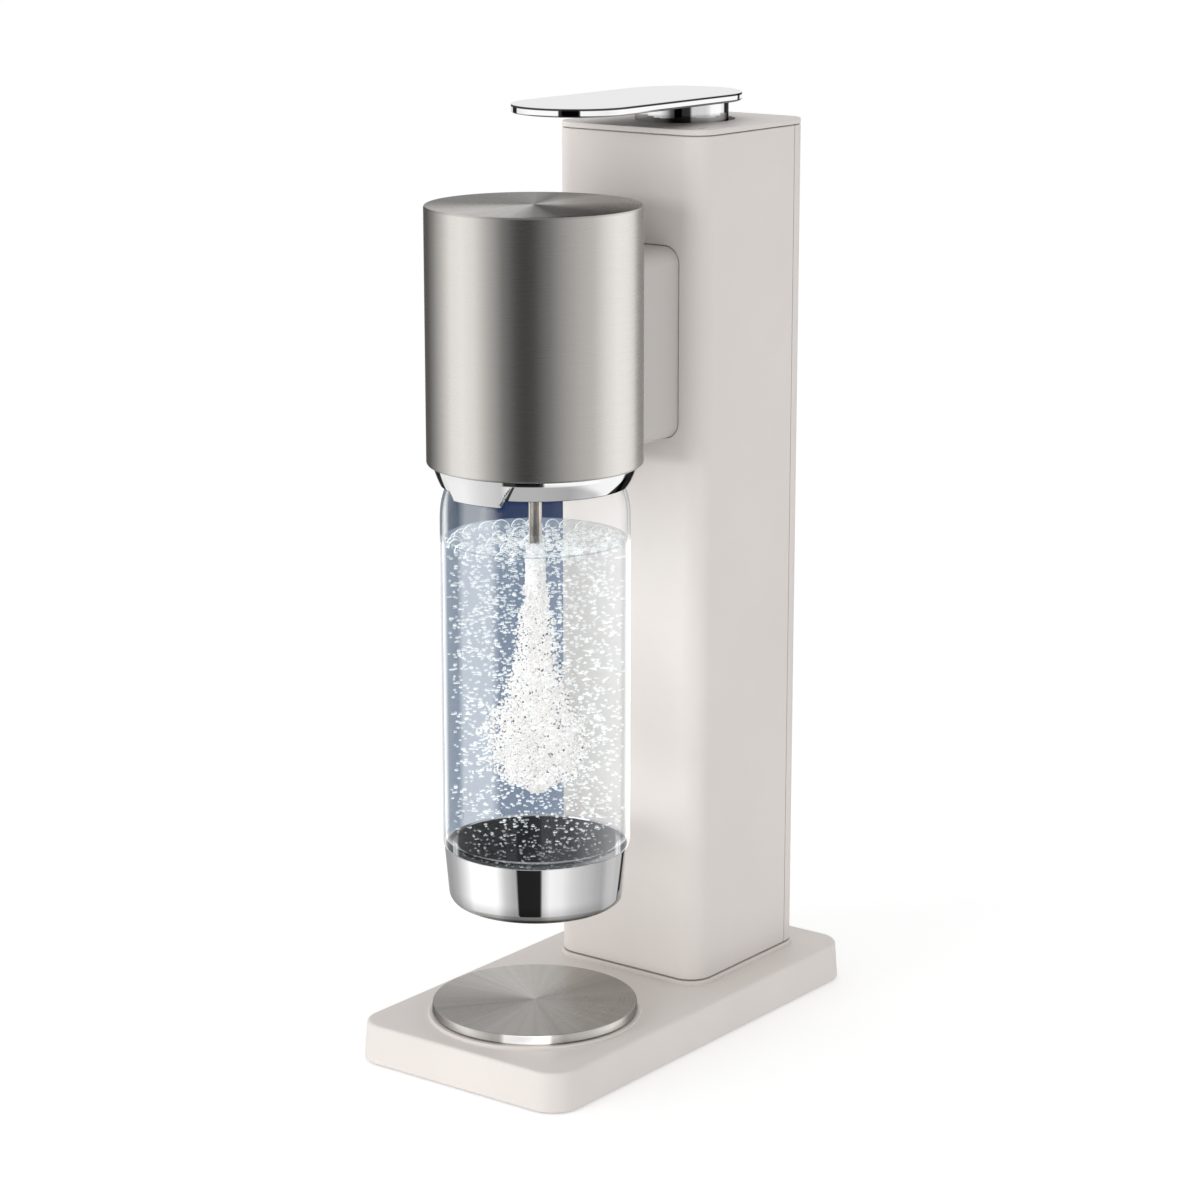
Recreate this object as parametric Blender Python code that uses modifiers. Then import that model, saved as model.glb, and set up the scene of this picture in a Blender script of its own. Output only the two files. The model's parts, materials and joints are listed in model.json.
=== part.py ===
"""Soda carbonator: a counter-top machine that blows gas into a bottle of water.

Metres, +Z up. The origin is the centre of the base's footprint, on the surface it stands on.
The head and bottle are at the front (-Y), and the column with the gas cylinder is at the back.
"""

import math

import bmesh
import bpy

for old in list(bpy.data.objects):
    bpy.data.objects.remove(old, do_unlink=True)

MM = 0.001

# ---------------------------------------------------------------- driving dimensions

# Fits
TOUCH = 0.3 * MM  # between pieces that rest on or butt against each other
RUNNING = 0.3 * MM  # radial clearance of pins in their bores
SEAM = 0.5 * MM  # between casing pieces

# Base
BASE_WIDTH = 126 * MM
FRONT_MARGIN = 64.1 * MM  # base's front edge to the bottle's axis
BACK_MARGIN = 18.4 * MM  # column's back to the base's back edge
BASE_TOP = 19.7 * MM
BASE_CORNER = 15 * MM
BASE_DRAFT = 1.3 * MM  # how much narrower each side is at the top
BASE_EDGE = 1.5 * MM
BASE_WALL = 2.4 * MM
SKIRT_GAP = 1.0 * MM  # under the base's skirt
PLINTH_HEIGHT = 2.3 * MM
PLINTH_LIP = 1.0 * MM  # how far the plinth stands proud of the column
BASE_COVER_FOOT = 2.2 * MM
BASE_COVER_THICKNESS = 1.6 * MM
FOOT_RADIUS = 8 * MM
FOOT_INSET = 17 * MM
POST_RADIUS = 4 * MM
POST_INSET_X = 18 * MM
POST_INSET_Y = 30 * MM
SCREW_RADIUS = 1.4 * MM
SCREW_HEAD_RADIUS = 3.2 * MM
SCREW_LENGTH = 12 * MM

# Drip disc
DISC_MARGIN = 5.0 * MM  # how far the disc is wider than the bottle all round
DISC_FORWARD = 2.0 * MM  # disc's centre in front of the bottle's axis
DISC_HEIGHT = 4.2 * MM
DISC_WALL = 1.0 * MM
DISC_GAP = 0.8 * MM
RING_LIP = 2.0 * MM
RING_HEIGHT = 1.5 * MM
PAD_INSET = 3.5 * MM

# Bottle and its cup
BOTTLE_RADIUS = 44.5 * MM
BOTTLE_WALL = 1.2 * MM
BOTTLE_HEIGHT = 255 * MM
BOTTLE_LIFT = 50.5 * MM  # cup's foot above the drip disc
SHOULDER_DROP = 69.7 * MM  # mouth down to where the shoulder begins
NECK_RADIUS = 15.5 * MM
NECK_BEAD = 18 * MM
NECK_BORE = 12.5 * MM
NECK_LENGTH = 28.7 * MM
CUP_WALL = 0.8 * MM
CUP_HEIGHT = 28.6 * MM
CUP_RIM_INSET = 0.6 * MM
CUP_FOOT_INSET = 2.5 * MM
CUP_ROUND = 6 * MM

# Head, its frame and the arm that carries it
HEAD_MARGIN = 5.9 * MM  # how far the head is wider than the bottle all round
HEAD_HEIGHT = 119.9 * MM
HEAD_WALL = 0.9 * MM
HEAD_REACH = 70.1 * MM  # bottle's axis to the column's front
HEAD_DROP = 27.1 * MM  # head's top below the column's top
FRAME_WALL = 3 * MM
FRAME_DECK = 5 * MM
DECK_RISE = 29 * MM  # deck's underside above the holder's pivot
DECK_BORE = 31.5 * MM
YOKE_INSIDE = 11 * MM  # arms that hold the pivot pins, inside the bottle's side
YOKE_THICKNESS = 5 * MM
YOKE_HALF = 6 * MM
ARM_HALF = 22 * MM
ARM_HEIGHT = 44 * MM
ARM_WALL = 5 * MM
NECK_HALF = 31 * MM
NECK_FOOT_RISE = 3.9 * MM  # neck cover's underside above the head's rim
NECK_COVER_HEIGHT = 91.4 * MM
NECK_CORNER = 8 * MM
NECK_SEAM = 0.4 * MM

# Holder that grips the bottle and swings with it
PIVOT_RISE = 11.9 * MM  # holder's pivot above the head's rim
MOUTH_RISE = 30.7 * MM  # bottle's mouth above the holder's pivot
HOLDER_GAP = 0.5 * MM
HOLDER_WALL = 1.5 * MM
HOLDER_BELOW = 21 * MM
HOLDER_ABOVE = 9 * MM
TAB_HALF_TOP = 20 * MM
TAB_HALF_FOOT = 14 * MM
TAB_ROOT = 15 * MM  # below the pivot, where the tab leaves the bowl
TAB_DROP = 24.2 * MM  # tab's lower edge below the pivot
TAB_TAPER = 1.2 * MM
CARRIER_RADIUS = 23 * MM
CARRIER_HEIGHT = 37 * MM
WEB_THICKNESS = 4 * MM
BOSS_INSIDE = 17.5 * MM  # carrier's bosses, inside the bottle's side
BOSS_HALF = 5 * MM
PIVOT_PIN_RADIUS = 3 * MM

# Nozzle
TUBE_RADIUS = 3 * MM
TUBE_BORE = 2 * MM
TUBE_DROP = 93.7 * MM  # from the bottle's mouth down to the tube's end
TIP_RADIUS = 4 * MM
TIP_LENGTH = 14 * MM
NOZZLE_HEIGHT = 32 * MM
NOZZLE_RADIUS = 13 * MM
SEAL_THICKNESS = 3.2 * MM

# Column
COLUMN_WIDTH = 88 * MM
COLUMN_DEPTH = 90.4 * MM
COLUMN_CORNER = 12 * MM
COLUMN_WALL = 2.2 * MM
COLUMN_GAP = 0.7 * MM  # shadow gap over the plinth
COVER_RETURN = 13.5 * MM  # how far the rear cover wraps round the sides
NOTCH_HALF = 12 * MM  # thumb notch in the rear cover's top edge
NOTCH_DEPTH = 7 * MM
CAP_THICKNESS = 2.6 * MM
CAP_LIP_HEIGHT = 5 * MM
CAP_LIP_WALL = 1.6 * MM
MARK_LENGTH = 6.5 * MM
MARK_WIDTH = 3.2 * MM
CHASSIS_WALL = 3 * MM
CHASSIS_DEPTH = 16.6 * MM

# Lever
HUB_RADIUS = 22.6 * MM
HUB_GAP = 1.0 * MM  # round the post in the cap's hole
HUB_SHOW = 10.3 * MM  # post seen between the cap and the lever's plate
HUB_WALL = 2.6 * MM
HUB_SKIRT = 6 * MM  # how far the post reaches down inside the cap's hole
HUB_BACK = 45.5 * MM  # post's axis in front of the column's back
LEVER_WIDTH = 59.2 * MM
LEVER_THICKNESS = 3.1 * MM
LEVER_NOSE = 1.5 * MM  # plate's front end behind the bottle's axis
LEVER_TAIL = 28.4 * MM  # plate's rear end behind the post's centre
PIVOT_BEHIND = 3.8 * MM  # lever's pivot behind the post
PIVOT_BELOW = 9.2 * MM  # lever's pivot below the cap's top
LEVER_PIN_RADIUS = 2 * MM
LUG_HALF = 7.5 * MM
EAR_THICKNESS = 4 * MM
EAR_GAP = 1.0 * MM
BRACKET_HALF = 6 * MM
PRESS_GAP = 0.4 * MM  # play between the lever's lug and the plunger

# Gas cylinder and valves
CYLINDER_RADIUS = 30 * MM
CYLINDER_WALL = 3 * MM
CYLINDER_BACK = 36.2 * MM  # cylinder's axis in front of the column's back
CYLINDER_NECK = 12.5 * MM
CRADLE_WALL = 2.4 * MM
CRADLE_HEIGHT = 18 * MM
CLIP_HEIGHT = 12 * MM
CLIP_LEVEL = 200 * MM
BLOCK_DROP = 18 * MM  # valve block's top below the lever's pivot
BLOCK_HEIGHT = 24 * MM
BLOCK_HALF = 26 * MM
VALVE_RADIUS = 10.3 * MM
VALVE_SEAT = 6 * MM  # how far the cylinder's valve goes into the block
VALVE_PIN_RADIUS = 1.5 * MM
VALVE_PIN_SHOW = 2.3 * MM
PLUNGER_RADIUS = 3 * MM
PLUNGER_FLANGE = 6.5 * MM
RELIEF_RADIUS = 6.5 * MM
RELIEF_X = 17 * MM
RELIEF_BACK = 17.3 * MM  # relief valve's axis behind the column's front
HOSE_RADIUS = 2.2 * MM
HOSE_X = 16 * MM  # hose fitting's axis to the left of the middle
HOSE_INSIDE = 1.5 * MM  # where the hose comes down to the holder's pivot, inside the bottle's side
HOSE_BACK = 15 * MM  # hose fitting's axis behind the column's front

# ---------------------------------------------------------------- places worked out from them

BASE_DEPTH = FRONT_MARGIN + HEAD_REACH + COLUMN_DEPTH + BACK_MARGIN
AXIS_Y = FRONT_MARGIN - BASE_DEPTH / 2
COLUMN_FRONT = AXIS_Y + HEAD_REACH
COLUMN_REAR = COLUMN_FRONT + COLUMN_DEPTH
SEAM_Y = COLUMN_REAR - COVER_RETURN
DISC_Y = AXIS_Y - DISC_FORWARD
CYLINDER_Y = COLUMN_REAR - CYLINDER_BACK

PLINTH_TOP = BASE_TOP + PLINTH_HEIGHT
COLUMN_FOOT = PLINTH_TOP + COLUMN_GAP
RING_TOP = BASE_TOP + RING_HEIGHT
DISC_FOOT = RING_TOP + DISC_GAP
DISC_TOP = DISC_FOOT + DISC_HEIGHT
CUP_FOOT = DISC_TOP + BOTTLE_LIFT
MOUTH = CUP_FOOT + BOTTLE_HEIGHT
PIVOT = MOUTH - MOUTH_RISE
HEAD_RIM = PIVOT - PIVOT_RISE
HEAD_TOP = HEAD_RIM + HEAD_HEIGHT
COLUMN_TOP = HEAD_TOP + HEAD_DROP
CAP_FOOT = COLUMN_TOP + SEAM
CAP_TOP = CAP_FOOT + CAP_THICKNESS
LEVER_FOOT = CAP_TOP + HUB_SHOW
LEVER_TOP = LEVER_FOOT + LEVER_THICKNESS

DISC_RADIUS = BOTTLE_RADIUS + DISC_MARGIN
RING_RADIUS = DISC_RADIUS + RING_LIP
HEAD_RADIUS = BOTTLE_RADIUS + HEAD_MARGIN
YOKE_X = BOTTLE_RADIUS - YOKE_INSIDE
BOSS_INNER = BOTTLE_RADIUS - BOSS_INSIDE
HOSE_DOWN = BOTTLE_RADIUS - HOSE_INSIDE
HEAD_BORE = HEAD_RADIUS - HEAD_WALL
FRAME_RADIUS = HEAD_BORE - HOLDER_GAP
HOLDER_RADIUS = HEAD_BORE - HOLDER_GAP
HOLDER_BORE = HOLDER_RADIUS - HOLDER_WALL
DECK_FOOT = PIVOT + DECK_RISE
ARM_FOOT = DECK_FOOT - 1 * MM
NECK_FOOT = HEAD_RIM + NECK_FOOT_RISE
NECK_BACK = COLUMN_FRONT + COLUMN_WALL + 0.2 * MM
CHASSIS_FRONT = NECK_BACK + TOUCH
CHASSIS_BACK = CHASSIS_FRONT + CHASSIS_DEPTH
CHASSIS_HALF = COLUMN_WIDTH / 2 - COLUMN_CORNER + 1 * MM  # clears the casing's rounded corners

HUB_Y = COLUMN_REAR - HUB_BACK
LEVER_PIVOT_Y = HUB_Y + HUB_RADIUS + PIVOT_BEHIND
LEVER_PIVOT_Z = CAP_TOP - PIVOT_BELOW
BLOCK_TOP = LEVER_PIVOT_Z - BLOCK_DROP
BLOCK_FOOT = BLOCK_TOP - BLOCK_HEIGHT
VALVE_TOP = BLOCK_FOOT + VALVE_SEAT
CRADLE_BORE = CYLINDER_RADIUS + 0.6 * MM
CRADLE_RADIUS = CRADLE_BORE + CRADLE_WALL
CRADLE_FOOT = PLINTH_TOP + TOUCH
CYLINDER_FOOT = CRADLE_FOOT + CRADLE_WALL + TOUCH
CYLINDER_TOP = VALVE_TOP - 36 * MM
LUG_FOOT = LEVER_PIVOT_Z - 1.6 * MM
PLUNGER_TOP = LUG_FOOT - PRESS_GAP
FLANGE_TOP = PLUNGER_TOP - 1.5 * MM
FLANGE_FOOT = FLANGE_TOP - 2.5 * MM

# ---------------------------------------------------------------- collections and materials


def collection(name):
    made = bpy.data.collections.new(name)
    bpy.context.scene.collection.children.link(made)
    return made


PARTS = collection("soda_carbonator")
TOOLS = collection("cutters")


def material(name, colour, roughness, metallic=0.0, alpha=1.0):
    made = bpy.data.materials.new(name)
    made.use_nodes = True
    shader = made.node_tree.nodes["Principled BSDF"]
    shader.inputs["Base Color"].default_value = (*colour, 1)
    shader.inputs["Roughness"].default_value = roughness
    shader.inputs["Metallic"].default_value = metallic
    shader.inputs["Alpha"].default_value = alpha
    made.diffuse_color = (*colour, alpha)
    return made


CREAM = ("cream_plastic", (0.72, 0.68, 0.64), 0.45)
STEEL = ("brushed_steel", (0.62, 0.60, 0.57), 0.3, 1.0)
CHROME = ("chrome", (0.85, 0.85, 0.86), 0.06, 1.0)
CLEAR = ("clear_bottle", (0.85, 0.92, 0.95), 0.05, 0.0, 0.3)
BLACK = ("black_plastic", (0.03, 0.03, 0.03), 0.5)
RUBBER = ("black_rubber", (0.02, 0.02, 0.02), 0.8)
SILICONE = ("pale_silicone", (0.75, 0.75, 0.72), 0.6)
FRAME_PAINT = ("grey_frame", (0.25, 0.25, 0.26), 0.5)
BRASS = ("brass", (0.75, 0.55, 0.25), 0.3, 1.0)
ZINC = ("zinc_steel", (0.55, 0.56, 0.58), 0.35, 1.0)
ALLOY = ("cylinder_alloy", (0.66, 0.67, 0.69), 0.35, 1.0)

# ---------------------------------------------------------------- ways of making a shape


def add(name, data, finish, at=(0, 0, 0), parent=None):
    """An object of its own, or a cutter where it has no finish."""
    made = bpy.data.objects.new(name, data)
    if finish is None:
        TOOLS.objects.link(made)
        made.hide_render = True
        made.display_type = "WIRE"
    else:
        PARTS.objects.link(made)
        data.materials.append(material(name + "_" + finish[0], *finish[1:]))
    made.location = at
    if parent is not None:
        made.parent = parent
        made.location = [a - b for a, b in zip(at, parent.location)]
    return made


def axis_empty(name, at):
    made = bpy.data.objects.new(name, None)
    made.location = at
    made.empty_display_size = 0.02
    PARTS.objects.link(made)
    return made


def arc(centre_r, centre_z, radius, start, end, steps=4):
    """Points round a centre, in degrees from the outward direction towards up."""
    points = []
    for i in range(steps + 1):
        angle = math.radians(start + (end - start) * i / steps)
        points.append((centre_r + radius * math.cos(angle), centre_z + radius * math.sin(angle)))
    return points


def turned(name, profile, finish, x=0.0, y=0.0, ring=False, segments=40, parent=None, along="Z", z=0.0):
    """A profile of (radius, height) points turned about an upright axis, or about one along X."""
    mesh = bpy.data.meshes.new(name)
    bm = bmesh.new()
    verts = [bm.verts.new((r, 0, h)) for r, h in profile]
    for a, b in zip(verts, verts[1:]):
        bm.edges.new((a, b))
    if ring:
        bm.edges.new((verts[-1], verts[0]))
    bm.to_mesh(mesh)
    bm.free()
    made = add(name, mesh, finish, (x, y, z), parent)
    if along == "X":
        made.rotation_euler = (0, math.pi / 2, 0)
    screw = made.modifiers.new("turn", "SCREW")
    screw.steps = segments
    screw.render_steps = segments
    screw.use_merge_vertices = True
    screw.merge_threshold = 0.00001
    screw.use_smooth_shade = True
    return made


def lowered(profile, level):
    """The same profile, with its heights counted from a level."""
    return [(r, h - level) for r, h in profile]


def rod(name, radius, low, high, finish, chamfer=0.0, **where):
    """A plain round bar between two heights, with its end edges broken."""
    profile = [(0, high), (radius - chamfer, high), (radius, high - chamfer)]
    profile += [(radius, low + chamfer), (radius - chamfer, low), (0, low)]
    if not chamfer:
        profile = [(0, high), (radius, high), (radius, low), (0, low)]
    return turned(name, profile, finish, **where)


def hollow(name, outer, inner, low, high, finish, **where):
    """A plain ring between two radii and two heights."""
    profile = [(inner, high), (outer, high), (outer, low), (inner, low)]
    return turned(name, profile, finish, ring=True, **where)


def block(name, low, high, finish, corner=0.0, steps=4, along="Z", top=0.0, foot=0.0, draft=0.0,
          open_ends=False, parent=None):
    """A box between two corners. Edges along one axis are rounded, and its two ends can be eased."""
    centre = [(a + b) / 2 for a, b in zip(low, high)]
    size = [b - a for a, b in zip(low, high)]
    run = "XYZ".index(along)
    bm = bmesh.new()
    bmesh.ops.create_cube(bm, size=1)
    bmesh.ops.scale(bm, vec=size, verts=bm.verts)
    if corner:
        edges = [e for e in bm.edges if abs(e.verts[0].co[run] - e.verts[1].co[run]) > size[run] / 2]
        bmesh.ops.bevel(bm, geom=edges, offset=corner, segments=steps, profile=0.5, affect="EDGES")
    if draft:
        for vert in bm.verts:
            if vert.co.z > 0:
                vert.co.x *= 1 - 2 * draft / size[0]
                vert.co.y *= 1 - 2 * draft / size[1]
    for width, side in ((top, 1), (foot, -1)):
        if width:
            level = side * size[run] / 2
            edges = [e for e in bm.edges if all(abs(v.co[run] - level) < 1e-6 for v in e.verts)]
            bmesh.ops.bevel(bm, geom=edges, offset=width, segments=2, profile=0.5, affect="EDGES")
    if open_ends:
        ends = [f for f in bm.faces if abs(f.normal[run]) > 0.9]
        bmesh.ops.delete(bm, geom=ends, context="FACES")
    mesh = bpy.data.meshes.new(name)
    bm.to_mesh(mesh)
    bm.free()
    return add(name, mesh, finish, centre, parent)


def tube_shell(name, low, high, finish, corner, wall, steps=4, along="Z", parent=None):
    """A box with open ends, rounded corners and an even wall."""
    made = block(name, low, high, finish, corner, steps, along, open_ends=True, parent=parent)
    solid = made.modifiers.new("wall", "SOLIDIFY")
    solid.thickness = wall
    solid.offset = -1
    solid.use_even_offset = True
    return made


def change(target, tool, operation="DIFFERENCE"):
    step = target.modifiers.new(tool.name, "BOOLEAN")
    step.object = tool
    step.operation = operation
    step.solver = "EXACT"


def wire(name, points, radius, finish):
    """A round wire or hose with closed ends through a list of points."""
    curve = bpy.data.curves.new(name, "CURVE")
    curve.dimensions = "3D"
    curve.bevel_depth = radius
    curve.bevel_resolution = 2
    curve.use_fill_caps = True
    spline = curve.splines.new("POLY")
    spline.points.add(len(points) - 1)
    for point, place in zip(spline.points, points):
        point.co = (*place, 1)
    return add(name, curve, finish)


def coil(name, x, y, low, high, radius, gauge, turns, finish):
    steps = turns * 9
    points = []
    for i in range(steps + 1):
        angle = 2 * math.pi * turns * i / steps
        height = low + gauge + (high - low - 2 * gauge) * i / steps
        points.append((x + radius * math.cos(angle), y + radius * math.sin(angle), height))
    return wire(name, points, gauge, finish)


def smooth_route(knots, steps):
    """Points on a smooth curve through the knots, evenly stepped between each two."""
    ends = [knots[0]] + knots + [knots[-1]]
    points = []
    for i in range(1, len(ends) - 2):
        for k in range(steps):
            t = k / steps
            point = []
            for a, b, c, d in zip(ends[i - 1], ends[i], ends[i + 1], ends[i + 2]):
                curve = 2 * b + (c - a) * t + (2 * a - 5 * b + 4 * c - d) * t**2
                point.append((curve + (3 * b - a - 3 * c + d) * t**3) / 2)
            points.append(tuple(point))
    points.append(tuple(knots[-1]))
    return points


# ---------------------------------------------------------------- joint axes

LEVER_AXIS = axis_empty("lever_axis", (0, LEVER_PIVOT_Y, LEVER_PIVOT_Z))
PLUNGER_AXIS = axis_empty("plunger_axis", (0, CYLINDER_Y, PLUNGER_TOP))
HOLDER_AXIS = axis_empty("holder_axis", (0, AXIS_Y, PIVOT))
BOTTLE_AXIS = axis_empty("bottle_axis", (0, AXIS_Y, CUP_FOOT))
DISC_AXIS = axis_empty("disc_axis", (0, DISC_Y, DISC_FOOT))
COVER_AXIS = axis_empty("cover_axis", (0, COLUMN_REAR - 1.1 * MM, COLUMN_FOOT + 1.3 * MM))
RELIEF_AXIS = axis_empty("relief_axis", (RELIEF_X, COLUMN_FRONT + RELIEF_BACK, BLOCK_TOP))

# ---------------------------------------------------------------- base


def around(half_x, half_y, centre_y=0.0):
    """Four places, one to each corner of a rectangle."""
    corners = []
    for side in (-1, 1):
        for end in (-1, 1):
            corners.append((side * half_x, centre_y + end * half_y))
    return corners


FEET = around(BASE_WIDTH / 2 - FOOT_INSET, BASE_DEPTH / 2 - FOOT_INSET)
POSTS = around(BASE_WIDTH / 2 - POST_INSET_X, BASE_DEPTH / 2 - POST_INSET_Y)


def base_outline(inset, low, high, finish, name, **more):
    half_x = BASE_WIDTH / 2 - inset
    half_y = BASE_DEPTH / 2 - inset
    ends = (-half_x, -half_y, low), (half_x, half_y, high)
    return block(name, *ends, finish, BASE_CORNER - inset, steps=5, **more)


def make_base():
    shell = base_outline(0, SKIRT_GAP, BASE_TOP, CREAM, "base_shell", top=BASE_EDGE, draft=BASE_DRAFT)
    half = COLUMN_WIDTH / 2 + PLINTH_LIP
    sunk = BASE_TOP - 1 * MM
    plinth_ends = (-half, COLUMN_FRONT - PLINTH_LIP, sunk), (half, COLUMN_REAR + PLINTH_LIP, PLINTH_TOP)
    change(shell, block("plinth", *plinth_ends, None, COLUMN_CORNER + PLINTH_LIP), "UNION")
    change(shell, rod("disc_ring", RING_RADIUS, sunk, RING_TOP, None, y=DISC_Y), "UNION")
    inside = base_outline(BASE_WALL, -SKIRT_GAP, BASE_TOP - BASE_WALL, None, "base_hollow", draft=BASE_DRAFT)
    change(shell, inside)
    cover_top = BASE_COVER_FOOT + BASE_COVER_THICKNESS
    drawn_in = BASE_DRAFT * (cover_top + SKIRT_GAP) / (BASE_TOP - BASE_WALL + SKIRT_GAP)
    inset = BASE_WALL + TOUCH + drawn_in
    cover = base_outline(inset, BASE_COVER_FOOT, cover_top, BLACK, "base_cover")
    for i, (x, y) in enumerate(POSTS, 1):
        name = f"base_post_{i}"
        change(shell, rod(name, POST_RADIUS, cover_top + TOUCH, sunk, None, x=x, y=y, segments=12), "UNION")
    screw_top = BASE_COVER_FOOT - TOUCH + SCREW_LENGTH
    for i, (x, y) in enumerate(POSTS, 1):
        place = {"x": x, "y": y, "segments": 12}
        bore = rod(f"post_bore_{i}", SCREW_RADIUS + RUNNING, 0, screw_top + 1 * MM, None, **place)
        change(shell, bore)
        change(cover, bore)
        head = BASE_COVER_FOOT - TOUCH
        profile = [(0, screw_top), (SCREW_RADIUS, screw_top), (SCREW_RADIUS, head)]
        profile += [(SCREW_HEAD_RADIUS, head), (SCREW_HEAD_RADIUS - 0.4 * MM, head - 1.2 * MM)]
        profile += [(0, head - 1.2 * MM)]
        turned(f"base_screw_{i}", profile, ZINC, **place)
    for i, (x, y) in enumerate(FEET, 1):
        top = BASE_COVER_FOOT - TOUCH
        rod(f"foot_{i}", FOOT_RADIUS, 0, top, RUBBER, 0.4 * MM, x=x, y=y, segments=16)


def make_drip_disc():
    edge = 0.4 * MM
    low_radius = DISC_RADIUS
    top_radius = DISC_RADIUS - 0.3 * MM
    profile = [(0, DISC_TOP)] + arc(top_radius - edge, DISC_TOP - edge, edge, 90, 0, 2)
    profile += [(low_radius, DISC_FOOT), (low_radius - DISC_WALL, DISC_FOOT)]
    profile += [(top_radius - DISC_WALL, DISC_TOP - DISC_WALL), (0, DISC_TOP - DISC_WALL)]
    turned("drip_disc", lowered(profile, DISC_FOOT), STEEL, y=DISC_Y, z=DISC_FOOT, parent=DISC_AXIS)
    pad_top = DISC_TOP - DISC_WALL - TOUCH - DISC_FOOT
    pad_foot = RING_TOP + TOUCH - DISC_FOOT
    where = {"y": DISC_Y, "z": DISC_FOOT, "parent": DISC_AXIS, "segments": 32}
    rod("disc_pad", DISC_RADIUS - PAD_INSET, pad_foot, pad_top, RUBBER, **where)


# ---------------------------------------------------------------- column


def make_column():
    half = COLUMN_WIDTH / 2
    ends = (-half, COLUMN_FRONT, COLUMN_FOOT), (half, COLUMN_REAR, COLUMN_TOP)
    shell = tube_shell("column_shell", *ends, CREAM, COLUMN_CORNER, COLUMN_WALL, steps=6)
    back = SEAM_Y - SEAM / 2
    front = SEAM_Y + SEAM / 2
    wide = COLUMN_WIDTH
    low = COLUMN_FOOT - 10 * MM
    high = COLUMN_TOP + 10 * MM
    change(shell, block("behind_seam", (-wide, back, low), (wide, back + wide, high), None))
    gap = NECK_SEAM
    window_low = (-NECK_HALF - gap, COLUMN_FRONT - 5 * MM, NECK_FOOT - gap)
    window_high = (NECK_HALF + gap, CHASSIS_FRONT, NECK_FOOT + NECK_COVER_HEIGHT + gap)
    change(shell, block("neck_window", window_low, window_high, None, NECK_CORNER + gap, along="Y"))

    cover = tube_shell("rear_cover", *ends, CREAM, COLUMN_CORNER, COLUMN_WALL, steps=6, parent=COVER_AXIS)
    change(cover, block("before_seam", (-wide, front - 2 * wide, low), (wide, front, high), None))
    notch_low = (-NOTCH_HALF, COLUMN_REAR - 5 * MM, COLUMN_TOP - NOTCH_DEPTH)
    notch_high = (NOTCH_HALF, COLUMN_REAR + 5 * MM, COLUMN_TOP + NOTCH_DEPTH)
    change(cover, block("thumb_notch", notch_low, notch_high, None, 5 * MM, along="Y"))


def make_cap():
    half = COLUMN_WIDTH / 2
    ends = (-half, COLUMN_FRONT, CAP_FOOT), (half, COLUMN_REAR, CAP_TOP)
    cap = block("top_cap", *ends, CREAM, COLUMN_CORNER, steps=6, top=0.4 * MM)
    inset = COLUMN_WALL + 0.4 * MM
    lip_low = (-half + inset, COLUMN_FRONT + inset, COLUMN_TOP - CAP_LIP_HEIGHT)
    lip_high = (half - inset, COLUMN_REAR - inset, CAP_FOOT + 1 * MM)
    lip = tube_shell("cap_lip", lip_low, lip_high, None, COLUMN_CORNER - inset, CAP_LIP_WALL, steps=3)
    change(cap, lip, "UNION")
    hole = rod("hub_hole", HUB_RADIUS + HUB_GAP, CAP_FOOT - 3 * MM, CAP_TOP + 3 * MM, None, y=HUB_Y)
    change(cap, hole)
    mark_x = half - 8 * MM
    mark_y = COLUMN_FRONT + 12 * MM
    for name, finish, ease in (("mark_recess", None, TOUCH), ("cap_mark", CHROME, 0.0)):
        low = (mark_x - MARK_WIDTH / 2 - ease, mark_y - MARK_LENGTH / 2 - ease, CAP_TOP - 0.8 * MM - ease)
        high = (mark_x + MARK_WIDTH / 2 + ease, mark_y + MARK_LENGTH / 2 + ease, CAP_TOP + ease)
        made = block(name, low, high, finish, MARK_WIDTH / 2 * 0.98 + ease, steps=5)
        if finish is None:
            change(cap, made)


def make_chassis():
    foot = PLINTH_TOP + TOUCH
    top = COLUMN_TOP - CAP_LIP_HEIGHT - 1 * MM
    ends = (-CHASSIS_HALF, CHASSIS_FRONT, foot), (CHASSIS_HALF, CHASSIS_BACK, top)
    frame = block("chassis", *ends, FRAME_PAINT)
    inner = CHASSIS_HALF - CHASSIS_WALL
    low = (-inner, CHASSIS_FRONT + CHASSIS_WALL, foot + CHASSIS_WALL)
    high = (inner, CHASSIS_BACK + 5 * MM, top + 5 * MM)
    change(frame, block("channel", low, high, None))
    hole = ARM_HALF - ARM_WALL
    window_low = (-hole, CHASSIS_FRONT - 5 * MM, ARM_FOOT + ARM_WALL)
    window_high = (hole, CHASSIS_FRONT + 8 * MM, ARM_FOOT + ARM_HEIGHT - ARM_WALL)
    change(frame, block("hose_window", window_low, window_high, None))
    room = CRADLE_RADIUS + 1 * MM
    change(frame, rod("cradle_room", room, foot - 5 * MM, foot + CRADLE_HEIGHT, None, y=CYLINDER_Y))


# ---------------------------------------------------------------- neck, arm and head


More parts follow.
